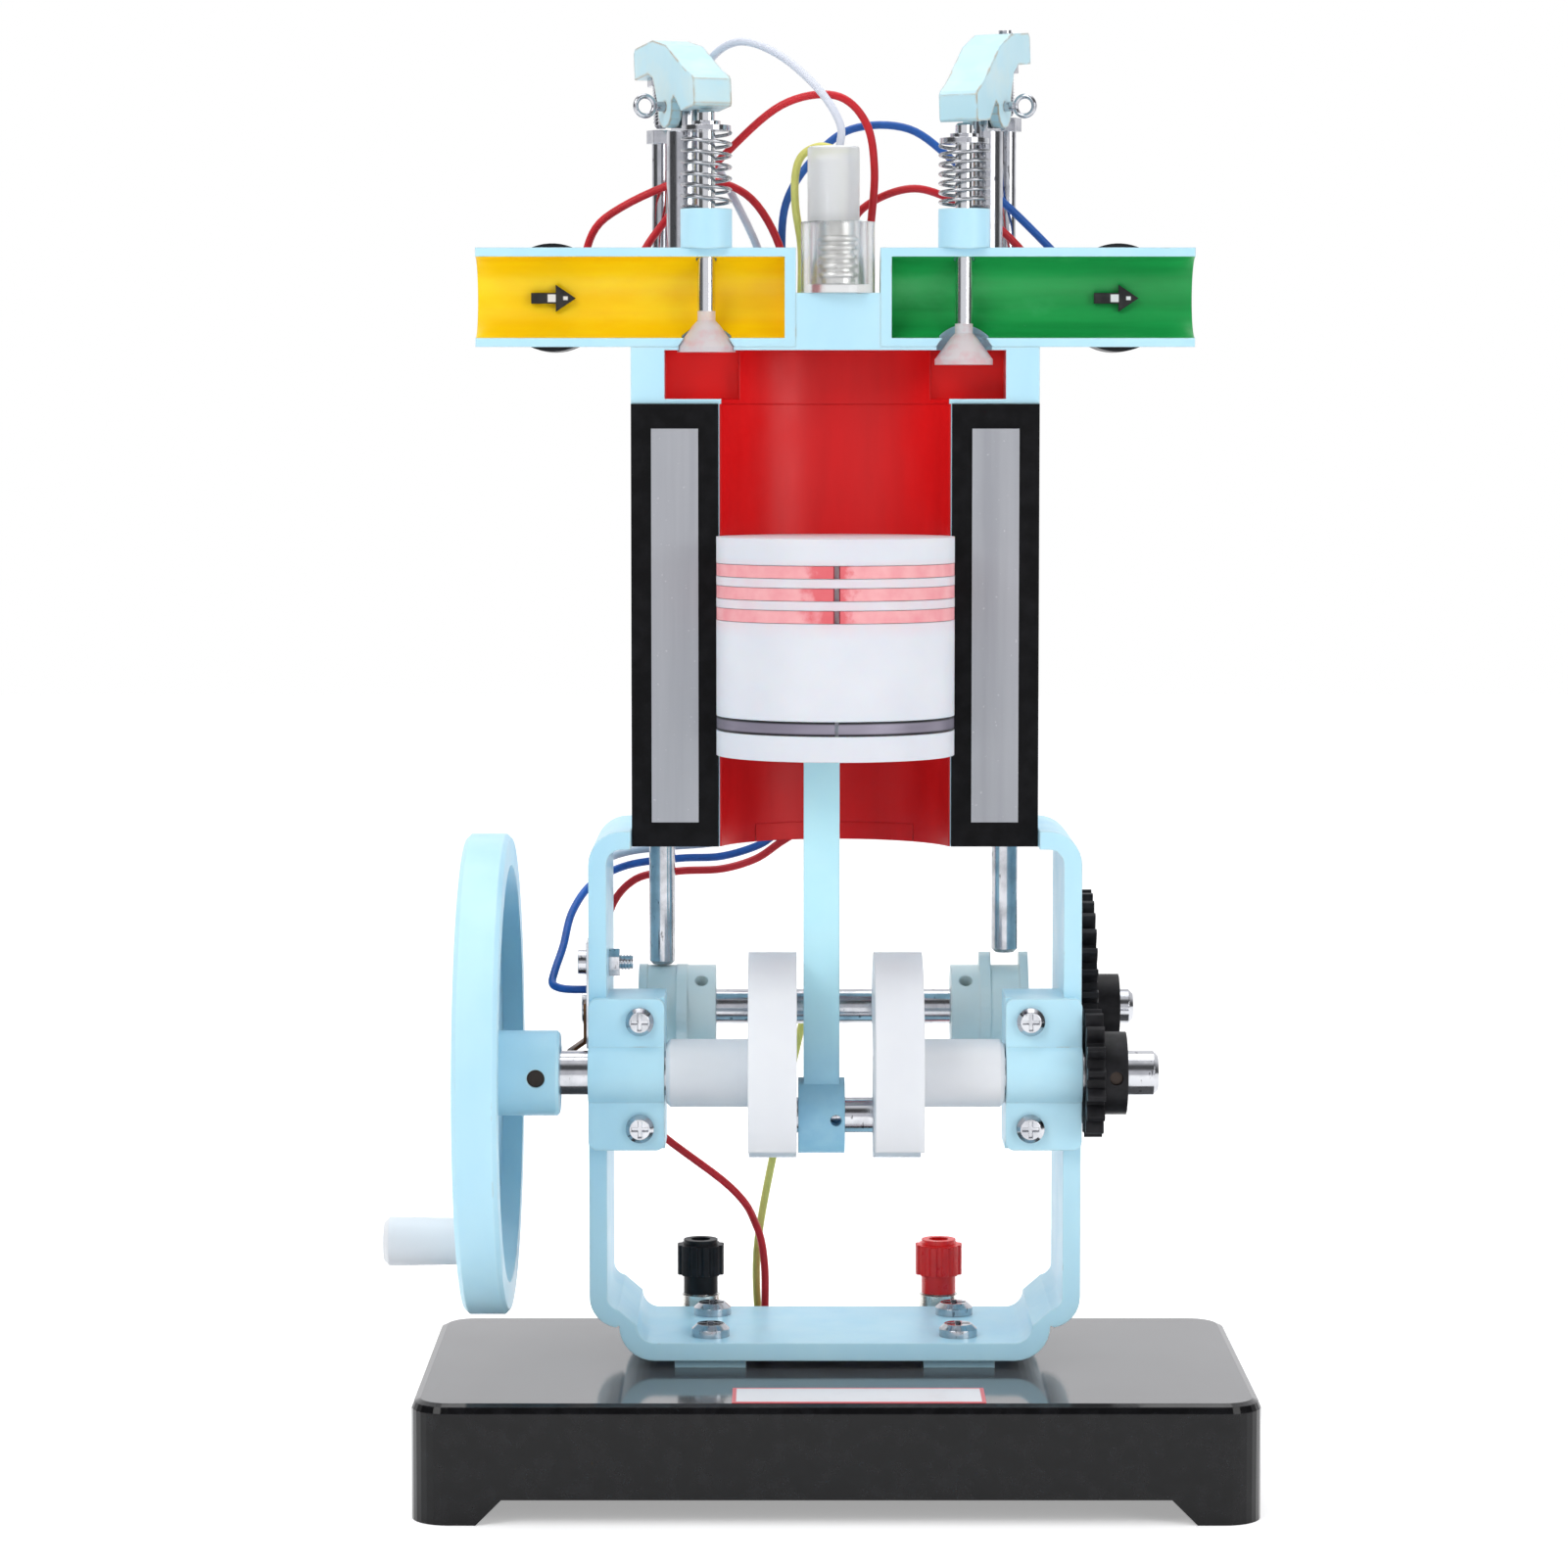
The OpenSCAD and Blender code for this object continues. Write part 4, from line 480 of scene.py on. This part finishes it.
def valve_metal(node):
    """A plated stem with a milky cone moulded on its lower end."""
    finish = Finish("finish_" + node, Base_Color=(0.8, 0.8, 0.82, 1), IOR=1.45)
    cone_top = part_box(node)[0][2] + VALVE_CONE_TOP
    cone = finish.remap(finish.axis("Z"), cone_top, cone_top - 0.2 * MM)
    milky = finish.mix(finish.remap(finish.noise(350), 0.45, 0.75),
                       (0.86, 0.84, 0.86, 1), (0.86, 0.62, 0.66, 1))
    finish.wire("Base Color", finish.mix(cone, (0.74, 0.75, 0.77, 1), milky))
    finish.wire("Metallic", finish.math("SUBTRACT", 1.0, cone))
    finish.wire("Transmission Weight", finish.math("MULTIPLY", cone, 0.45))
    finish.wire("Roughness", finish.remap(cone, 0, 1, 0.16, 0.4))
    finish.surface(finish.noise(600), 0.06, 0.0002)
    return finish.material


def gloss_plastic(name, light, dark):
    finish = Finish(name, Subsurface_Weight=0.05, Subsurface_Scale=0.002)
    finish.wire("Base Color", finish.mix(finish.remap(finish.noise(220), 0.35, 0.7), light, dark))
    finish.wire("Roughness", finish.remap(finish.noise(400), 0.3, 0.7, 0.25, 0.4))
    finish.surface(finish.noise(900), 0.05, 0.0002, soften=0.0003)
    return finish.material


def sleeve(name, light, dark):
    """Soft wire sleeve, a little dull along its length."""
    finish = Finish("sleeve_" + name, Specular_IOR_Level=0.35)
    finish.wire("Base Color", finish.mix(finish.remap(finish.noise(150), 0.35, 0.7), light, dark))
    finish.wire("Roughness", finish.remap(finish.noise(500), 0.3, 0.7, 0.35, 0.5))
    return finish.material


steel = metal("steel", (0.57, 0.58, 0.61, 1), (0.34, 0.35, 0.38, 1), 0.08, 0.24, pitted=0.75)
spring_steel = metal("spring_steel", (0.40, 0.41, 0.43, 1), (0.24, 0.25, 0.27, 1), 0.16, 0.3)
looks = {
    "blue_plastic": blue_plastic(),
    "yellow_pipe": painted_pipe("yellow_pipe", (0.95, 0.69, 0.003, 1), (0.88, 0.54, 0.002, 1),
                                (0.96, 0.75, 0.02, 1)),
    "green_pipe": painted_pipe("green_pipe", (0.016, 0.40, 0.092, 1), (0.008, 0.24, 0.050, 1),
                               (0.07, 0.46, 0.16, 1)),
    "black_base": black_plastic("black_base", 0.05, 0.12, 1400, shine=0.16, dust_and_sheen=0.3, coat=0.5),
    "black_plastic": black_plastic("black_plastic", 0.32, 0.5, 900, shade=2.2),
    "grey_film": grey_film(),
    "white_nylon": nylon("white_nylon", (0.76, 0.78, 0.81, 1), (0.71, 0.73, 0.77, 1)),
    "pink_ring": pink_ring(),
    "dark_steel": metal("dark_steel", (0.16, 0.15, 0.17, 1), (0.07, 0.07, 0.08, 1), 0.2, 0.45,
                        stretch=(8, 8, 1)),
    "steel": steel,
    "clear_plastic": clear_plastic("clear_plastic", 0.68, 0.26, 0.38),
    "lamp_brass": metal("lamp_brass", (0.74, 0.73, 0.70, 1), (0.50, 0.48, 0.44, 1), 0.2, 0.4),
    "brass": metal("brass", (0.78, 0.77, 0.74, 1), (0.6, 0.58, 0.52, 1), 0.15, 0.35),
    "copper": metal("copper", (0.20, 0.09, 0.04, 1), (0.06, 0.03, 0.02, 1), 0.35, 0.6),
    "red_plastic": gloss_plastic("red_plastic", (0.95, 0.012, 0.012, 1), (0.84, 0.009, 0.010, 1)),
    "wire_sleeve": sleeve("plain", (0.6, 0.02, 0.03, 1), (0.5, 0.015, 0.02, 1)),
}
for row in frame["record"]["subparts"]:
    nodes[row["node"]].data.materials.clear()
    nodes[row["node"]].data.materials.append(looks[row["material_slot"]])

rocker_plastic = stained_plastic()
cam_nylon = nylon("cam_nylon", (0.80, 0.89, 0.88, 1), (0.75, 0.84, 0.83, 1))
special = {
    "crankcase_frame": painted_frame(),
    "cylinder_block": painted_block(),
    "cylinder_head": painted_head(),
    "section_plates": black_plastic("plate_paint", 0.45, 0.6, 700, shine=0.08),
    "connecting_rod": rod_plastic(),
    "piston": stained_piston(),
    "oil_ring": dark_ring(),
    "flow_arrows": painted_glint_arrows(),
    "plug_socket": clear_plastic("socket_plastic", 0.88, 0.14, 0.22),
    "intake_rocker": rocker_plastic,
    "exhaust_rocker": rocker_plastic,
    "intake_cam": cam_nylon,
    "exhaust_cam": cam_nylon,
    "grub_screws": metal("grub_steel", (0.05, 0.04, 0.035, 1), (0.02, 0.016, 0.012, 1), 0.4, 0.6),
    "intake_valve": valve_metal("intake_valve"),
    "exhaust_valve": valve_metal("exhaust_valve"),
}
for node, material in special.items():
    nodes[node].data.materials[0] = material


# Tubes along a line of points


def smooth_line(points, steps):
    """A smooth curve through the points, with the given number of steps per stretch."""
    p = [Vector(q) for q in points]
    line = []
    for i in range(len(p) - 1):
        a, b, c, d = p[max(i - 1, 0)], p[i], p[i + 1], p[min(i + 2, len(p) - 1)]
        for k in range(steps):
            f = k / steps
            line.append(0.5 * (2 * b + (c - a) * f + (2 * a - 5 * b + 4 * c - d) * f ** 2
                               + (3 * b - a - 3 * c + d) * f ** 3))
    return line + [p[-1]]


def tube_mesh(name, line, radius, sides, material):
    """A closed tube of quads along a line, turned as little as possible from ring to ring."""
    verts, faces = [], []
    side = None
    for i, point in enumerate(line):
        along = (line[min(i + 1, len(line) - 1)] - line[max(i - 1, 0)]).normalized()
        if side is None:
            side = along.orthogonal()
        side = (side - along * side.dot(along)).normalized()
        up = along.cross(side)
        for k in range(sides):
            turn = 2 * math.pi * k / sides
            verts.append(point + radius * (math.cos(turn) * side + math.sin(turn) * up))
    for i in range(len(line) - 1):
        for k in range(sides):
            a, b = i * sides + k, i * sides + (k + 1) % sides
            faces.append((a, b, b + sides, a + sides))
    last = (len(line) - 1) * sides
    faces.append(tuple(range(sides - 1, -1, -1)))
    faces.append(tuple(range(last, last + sides)))
    mesh = bpy.data.meshes.new(name)
    mesh.from_pydata(verts, [], faces)
    for face in mesh.polygons[:-2]:
        face.use_smooth = True
    mesh.materials.append(material)
    made = bpy.data.objects.new(name, mesh)
    bpy.context.scene.collection.objects.link(made)
    return made


# Wires, on the same routes as their solids

WIRE_D = 1.8 * MM
WIRE_SIDES = 18
WIRE_STEPS = 8
wire_colours = {
    "white": sleeve("white", (0.66, 0.69, 0.77, 1), (0.60, 0.63, 0.72, 1)),
    "red": sleeve("red", (0.64, 0.016, 0.026, 1), (0.52, 0.012, 0.018, 1)),
    "blue": sleeve("blue", (0.02, 0.12, 0.46, 1), (0.014, 0.09, 0.36, 1)),
    "yellow": sleeve("yellow", (0.74, 0.71, 0.20, 1), (0.62, 0.60, 0.15, 1)),
    "grey": sleeve("grey", (0.42, 0.50, 0.60, 1), (0.34, 0.41, 0.50, 1)),
}
upper_routes = {
    "wire_white": ("white", [(1, 0, 299.8), (1, 0, 305), (-4, 3, 313), (-13, 9, 321), (-22, 14, 324),
        (-29, 20, 319), (-31, 25, 307), (-17, 17, 277), (-17, 17, 264.3)]),
    "wire_red_arc": ("red", [(-58, 13, 272), (-58, 19, 272), (-57, 22.5, 276), (-52, 21, 285),
        (-34, 17.5, 293), (-20, 15, 290), (-12, 13, 277), (-12, 13, 264.3)]),
    "wire_red_loop": ("red", [(-44, 15, 264.3), (-44, 15, 275), (-37, 21, 286), (-25, 19, 299),
        (-12, 16, 310), (0, 13, 312), (7, 13, 306), (9, 13, 295), (8, 13, 280), (8, 13, 267.3)]),
    "wire_blue": ("blue", [(-12, 18, 264.3), (-12, 18, 275), (-11, 19, 288), (-5, 20, 298), (4, 21, 305),
        (17, 21, 305), (28, 20, 297), (40, 20, 287), (52.5, 24, 275), (56, 18, 271), (56, 13, 271)]),
    "wire_yellow": ("yellow", [(-7.5, 14, 267.3), (-7.5, 14, 278), (-8.8, 13, 287), (-8.8, 12, 294.4),
        (-7.1, 11.3, 298.7), (-2.9, 11, 300.5), (1.3, 11, 298.7), (3, 11, 294.4), (3, 11, 287.5),
        (3, 11, 267.3)]),
    "wire_red_low": ("red", [(3, 18, 267.3), (3, 18, 277), (5.5, 18, 286), (15, 17, 291), (24, 17, 290),
        (38, 18, 282), (51.5, 25.5, 267.5), (57, 21, 262), (57, 13, 262)]),
}
lower_routes = {
    "wire_post_red": ("red", [(-5, 31, 145.8), (-5, 36, 145.8), (-7.4, 40.2, 143.7), (-12.3, 40.4, 140.6),
        (-18, 38, 137), (-26, 35.2, 134.9), (-36, 34.9, 134.4), (-46, 35, 132.5), (-52, 35.2, 125),
        (-53, 35, 112), (-53, 35, 94), (-45, 35, 77), (-24, 35, 60), (-18, 41, 50), (-16, 43, 40),
        (-16, 43, 26.5)]),
    "wire_post_yellow": ("yellow", [(-0.5, 31, 145.8), (-0.5, 37.5, 145.8), (-0.5, 45, 139.5),
        (-4, 46, 112), (-11, 45.5, 80), (-17.5, 46, 46), (-17.5, 46, 26.5)]),
    "wire_left_blue": ("blue", [(-10.5, 31, 145.8), (-10.5, 36, 145.8), (-12.5, 40.6, 143.6),
        (-17, 42, 140), (-26, 42.3, 137.2), (-36, 42.2, 136.7), (-48, 40, 135.3), (-56, 36, 131.5),
        (-60.5, 29, 125.5), (-62.2, 20, 118.5), (-63.6, 12.8, 114.2), (-64.1, 8.2, 111.5),
        (-62.4, 5.3, 110.7), (-59.5, 4, 110.5), (-56, 4, 110.5)]),
    "wire_left_grey": ("grey", [(-15.5, 31, 145.8), (-15.5, 36.5, 145.8), (-17.4, 41, 144.4),
        (-21.5, 42.8, 142.3), (-28, 42.8, 140.3), (-38, 42.3, 139.5), (-46, 40.3, 138.8),
        (-50.4, 37.6, 138), (-52, 34.6, 137.5), (-52, 31, 137.5)]),
}


def lay_wire(name, colour, route, node):
    """A free wire from one face of the object to another."""
    line = smooth_line([Vector(p) * MM for p in route], WIRE_STEPS)
    piece = tube_mesh(name, line, WIRE_D / 2, WIRE_SIDES, wire_colours[colour])
    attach(piece, "frame")
    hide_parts(node)


for node, routes in (("upper_wires", upper_routes), ("lower_wires", lower_routes)):
    for name, (colour, route) in routes.items():
        lay_wire(name, colour, route, node)


# Valve springs, coiled between the guide and the retainer

SPRING_D = 11.6 * MM
SPRING_WIRE = 0.8 * MM
SPRING_CURLS = 6.5
SPRING_SIDES = 10
RINGS_PER_CURL = 28


def valve_spring(name):
    """A coil standing between the lower and upper ends of the spring's solid, at rest."""
    low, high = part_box(name)
    centre_x, centre_y = middle(name)[:2]
    bottom, top = low[2] + SPRING_WIRE / 2, high[2] - SPRING_WIRE / 2
    side = -1 if centre_x < 0 else 1
    radius = (SPRING_D - SPRING_WIRE) / 2
    count = round(SPRING_CURLS * RINGS_PER_CURL)
    line = []
    for i in range(count + 1):
        share = i / count
        turn = 2 * math.pi * i / RINGS_PER_CURL
        line.append(Vector((centre_x + side * radius * math.cos(turn), centre_y + radius * math.sin(turn),
                            bottom + (top - bottom) * share)))
    piece = tube_mesh(name + "_coil", line, SPRING_WIRE / 2, SPRING_SIDES, spring_steel)
    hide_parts(name)
    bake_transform(piece)


valve_spring("intake_spring")
valve_spring("exhaust_spring")


# Screw threads, as fine ridges on the plain screws

THREAD_RIDGE = 0.2 * MM
THREAD_PITCH = 0.7 * MM
STEPS_PER_TURN = 14
THREAD_SIDES = 6
SCREW_R = 1.5 * MM
FACE_REACH = 0.4 * MM


def thread(name, start, end, radius, body):
    """A helical ridge around the line from start to end."""
    start, end = Vector(start), Vector(end)
    along = (end - start).normalized()
    side = along.orthogonal().normalized()
    up = along.cross(side)
    turns = (end - start).length / THREAD_PITCH
    count = int(turns * STEPS_PER_TURN)
    line = []
    for i in range(count + 1):
        turn = 2 * math.pi * i / STEPS_PER_TURN
        out = radius * (math.cos(turn) * side + math.sin(turn) * up)
        line.append(start + along * (THREAD_PITCH * i / STEPS_PER_TURN) + out)
    piece = tube_mesh(name, line, THREAD_RIDGE, THREAD_SIDES, steel)
    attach(piece, body)


def screw_ends(node):
    """Centres of the lower and upper end faces of a standing screw."""
    points = [v.co for v in nodes[node].data.vertices]
    low, high = min(p.z for p in points), max(p.z for p in points)
    ends = []
    for level in (low, high):
        face = [p for p in points if abs(p.z - level) < FACE_REACH]
        ends.append(sum(face, Vector()) / len(face))
    return ends


ADJUSTER_FOOT = 1.2 * MM
ADJUSTER_TIP = 0.4 * MM
BOLT_THREAD = 2.8 * MM
BOLT_TIP = 0.3 * MM
for valve_side in ("intake", "exhaust"):
    screw_low, screw_high = screw_ends(valve_side + "_adjuster")
    screw_along = (screw_high - screw_low).normalized()
    thread(valve_side + "_adjuster_thread", screw_low + screw_along * ADJUSTER_FOOT,
           screw_high - screw_along * ADJUSTER_TIP, SCREW_R, valve_side + "_rocker")
bolt_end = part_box("contact_bolt")[1][0]
bolt_y, bolt_z = middle("contact_bolt")[1:]
thread("contact_bolt_thread", (bolt_end - BOLT_THREAD, bolt_y, bolt_z), (bolt_end - BOLT_TIP, bolt_y, bolt_z),
       SCREW_R, "frame")


# A bare label plate on the base, pale with a red border

LABEL_LEFT, LABEL_RIGHT = -22.7 * MM, 32.5 * MM
LABEL_FRONT, LABEL_BACK = BASE_FRONT + 2 * MM, BASE_FRONT + 17 * MM
LABEL_T = 0.2 * MM
LABEL_BORDER = 0.9 * MM


def label_finish(centre, half_w, half_d):
    """Pale film with a little grime inside a red border."""
    finish = Finish("label", Roughness=0.35)
    inside = finish.math("MULTIPLY", finish.near(finish.axis("X"), centre[0], half_w - LABEL_BORDER),
                         finish.near(finish.axis("Y"), centre[1], half_d - LABEL_BORDER))
    grime = finish.remap(finish.noise(140, detail=5), 0.55, 0.8)
    pale = finish.mix(finish.math("MULTIPLY", grime, 0.3), (0.78, 0.76, 0.78, 1), (0.55, 0.5, 0.5, 1))
    finish.wire("Base Color", finish.mix(inside, (0.66, 0.09, 0.11, 1), pale))
    return finish.material


def label_plate():
    low = Vector((LABEL_LEFT, LABEL_FRONT, BASE_TOP))
    high = Vector((LABEL_RIGHT, LABEL_BACK, BASE_TOP + LABEL_T))
    outline = ((low.x, low.y), (high.x, low.y), (high.x, high.y), (low.x, high.y))
    corners = [(x, y, z) for z in (low.z, high.z) for x, y in outline]
    sides = [(i, (i + 1) % 4, (i + 1) % 4 + 4, i + 4) for i in range(4)]
    mesh = bpy.data.meshes.new("label_plate")
    mesh.from_pydata(corners, [], [(3, 2, 1, 0), (4, 5, 6, 7), *sides])
    mesh.materials.append(label_finish((low + high) / 2, (high.x - low.x) / 2, (high.y - low.y) / 2))
    piece = bpy.data.objects.new("label_plate", mesh)
    bpy.context.scene.collection.objects.link(piece)
    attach(piece, "frame")


label_plate()


# Stage: pale floor, white surroundings, soft lamps and the camera

FLOOR_HALF = 3.0
FLOOR_GLOW = 0.35
CAMERA_LENS = 103.4
CAMERA_SENSOR = 36
CAMERA_PLACE = (-0.0114, -1.010, 0.237)
CAMERA_TIP = 4.5
SKY_BLUE = 1.02
# Name, place, aim, size in metres and power in watts
LAMPS = [
    ("key", (-0.7, -0.9, 1.0), (0, 0, 0.17), 0.7, 7),
    ("fill", (0.9, -0.8, 0.5), (0, 0, 0.17), 0.6, 4),
    ("top", (0.0, 0.2, 1.2), (0, 0, 0.1), 0.9, 5),
]


def soft_lamp(name, place, aim, size, power):
    lamp = bpy.data.lights.new(name, "AREA")
    lamp.size = size
    lamp.energy = power
    made = bpy.data.objects.new(name, lamp)
    made.location = place
    made.rotation_euler = (Vector(aim) - Vector(place)).to_track_quat("-Z", "Y").to_euler()
    bpy.context.scene.collection.objects.link(made)


def pale_floor():
    half = FLOOR_HALF
    corners = [(-half, -half, 0), (half, -half, 0), (half, half, 0), (-half, half, 0)]
    mesh = bpy.data.meshes.new("floor")
    mesh.from_pydata(corners, [], [(0, 1, 2, 3)])
    floor = bpy.data.objects.new("floor", mesh)
    bpy.context.scene.collection.objects.link(floor)
    finish = Finish("floor", Base_Color=(0.9, 0.9, 0.9, 1), Roughness=0.9, Emission_Color=(1, 1, 1, 1))
    path = finish.node("ShaderNodeLightPath")
    seen = finish.math("MAXIMUM", path.outputs["Is Camera Ray"], path.outputs["Is Glossy Ray"])
    finish.wire("Emission Strength", finish.math("MULTIPLY", seen, FLOOR_GLOW))
    mesh.materials.append(finish.material)


def white_world():
    """White where it is seen. Mirrors find bright front, back and top, and dark sides. The rest is soft."""
    world = bpy.data.worlds.new("surroundings")
    world.use_nodes = True
    bpy.context.scene.world = world
    tree = world.node_tree
    background = tree.nodes["Background"]
    path = tree.nodes.new("ShaderNodeLightPath")
    coords = tree.nodes.new("ShaderNodeTexCoord")
    split = tree.nodes.new("ShaderNodeSeparateXYZ")
    tree.links.new(coords.outputs["Generated"], split.inputs[0])

    def ramp(letter, stops):
        spread = tree.nodes.new("ShaderNodeMapRange")
        spread.inputs["From Min"].default_value = -1.0
        tree.links.new(split.outputs[letter], spread.inputs["Value"])
        made = tree.nodes.new("ShaderNodeValToRGB")
        bar = made.color_ramp.elements
        while len(bar) < len(stops):
            bar.new(1.0)
        for stop, (place, level) in zip(bar, stops):
            stop.position = (place + 1) / 2
            stop.color = (level, level, level * SKY_BLUE, 1)
        tree.links.new(spread.outputs["Result"], made.inputs["Fac"])
        return made.outputs["Color"]

    def mix(kind, share, a, b):
        made = tree.nodes.new("ShaderNodeMix")
        made.data_type = "RGBA"
        made.blend_type = kind
        if isinstance(share, float):
            made.inputs["Factor"].default_value = share
        else:
            tree.links.new(share, made.inputs["Factor"])
        for socket, value in zip([s for s in made.inputs if s.type == "RGBA"], (a, b)):
            if isinstance(value, tuple):
                socket.default_value = value
            else:
                tree.links.new(value, socket)
        return [s for s in made.outputs if s.type == "RGBA"][0]

    lit = ramp("Y", [(-1.0, 0.23), (0.24, 1.0)])
    front = mix("MULTIPLY", 1.0, ramp("Y", [(-0.8, 0.8), (-0.6, 0.0)]),
                ramp("Z", [(-0.45, 0.0), (-0.3, 1.0), (0.3, 1.0), (0.45, 0.0)]))
    back = ramp("Y", [(0.15, 0.1), (0.45, 1.0)])
    overhead = ramp("Z", [(0.7, 0.0), (0.88, 0.95)])
    mirrored = mix("LIGHTEN", 1.0, mix("LIGHTEN", 1.0, front, back), overhead)
    level = mix("MIX", path.outputs["Is Glossy Ray"], lit, mirrored)
    seen = tree.nodes.new("ShaderNodeMath")
    seen.operation = "MAXIMUM"
    tree.links.new(path.outputs["Is Camera Ray"], seen.inputs[0])
    tree.links.new(path.outputs["Is Transmission Ray"], seen.inputs[1])
    tree.links.new(mix("MIX", seen.outputs[0], level, (1, 1, 1, 1)), background.inputs["Color"])
    background.inputs["Strength"].default_value = 1.0


def photo_camera():
    """The photograph's view: a long lens, a little above the head, tipped down."""
    camera = bpy.data.cameras.new("camera")
    camera.lens = CAMERA_LENS
    camera.sensor_width = CAMERA_SENSOR
    made = bpy.data.objects.new("camera", camera)
    made.location = CAMERA_PLACE
    made.rotation_euler = (math.radians(90 - CAMERA_TIP), 0, 0)
    bpy.context.scene.collection.objects.link(made)
    bpy.context.scene.camera = made


pale_floor()
white_world()
photo_camera()
for lamp_row in LAMPS:
    soft_lamp(*lamp_row)
bpy.context.scene.view_settings.view_transform = "Standard"
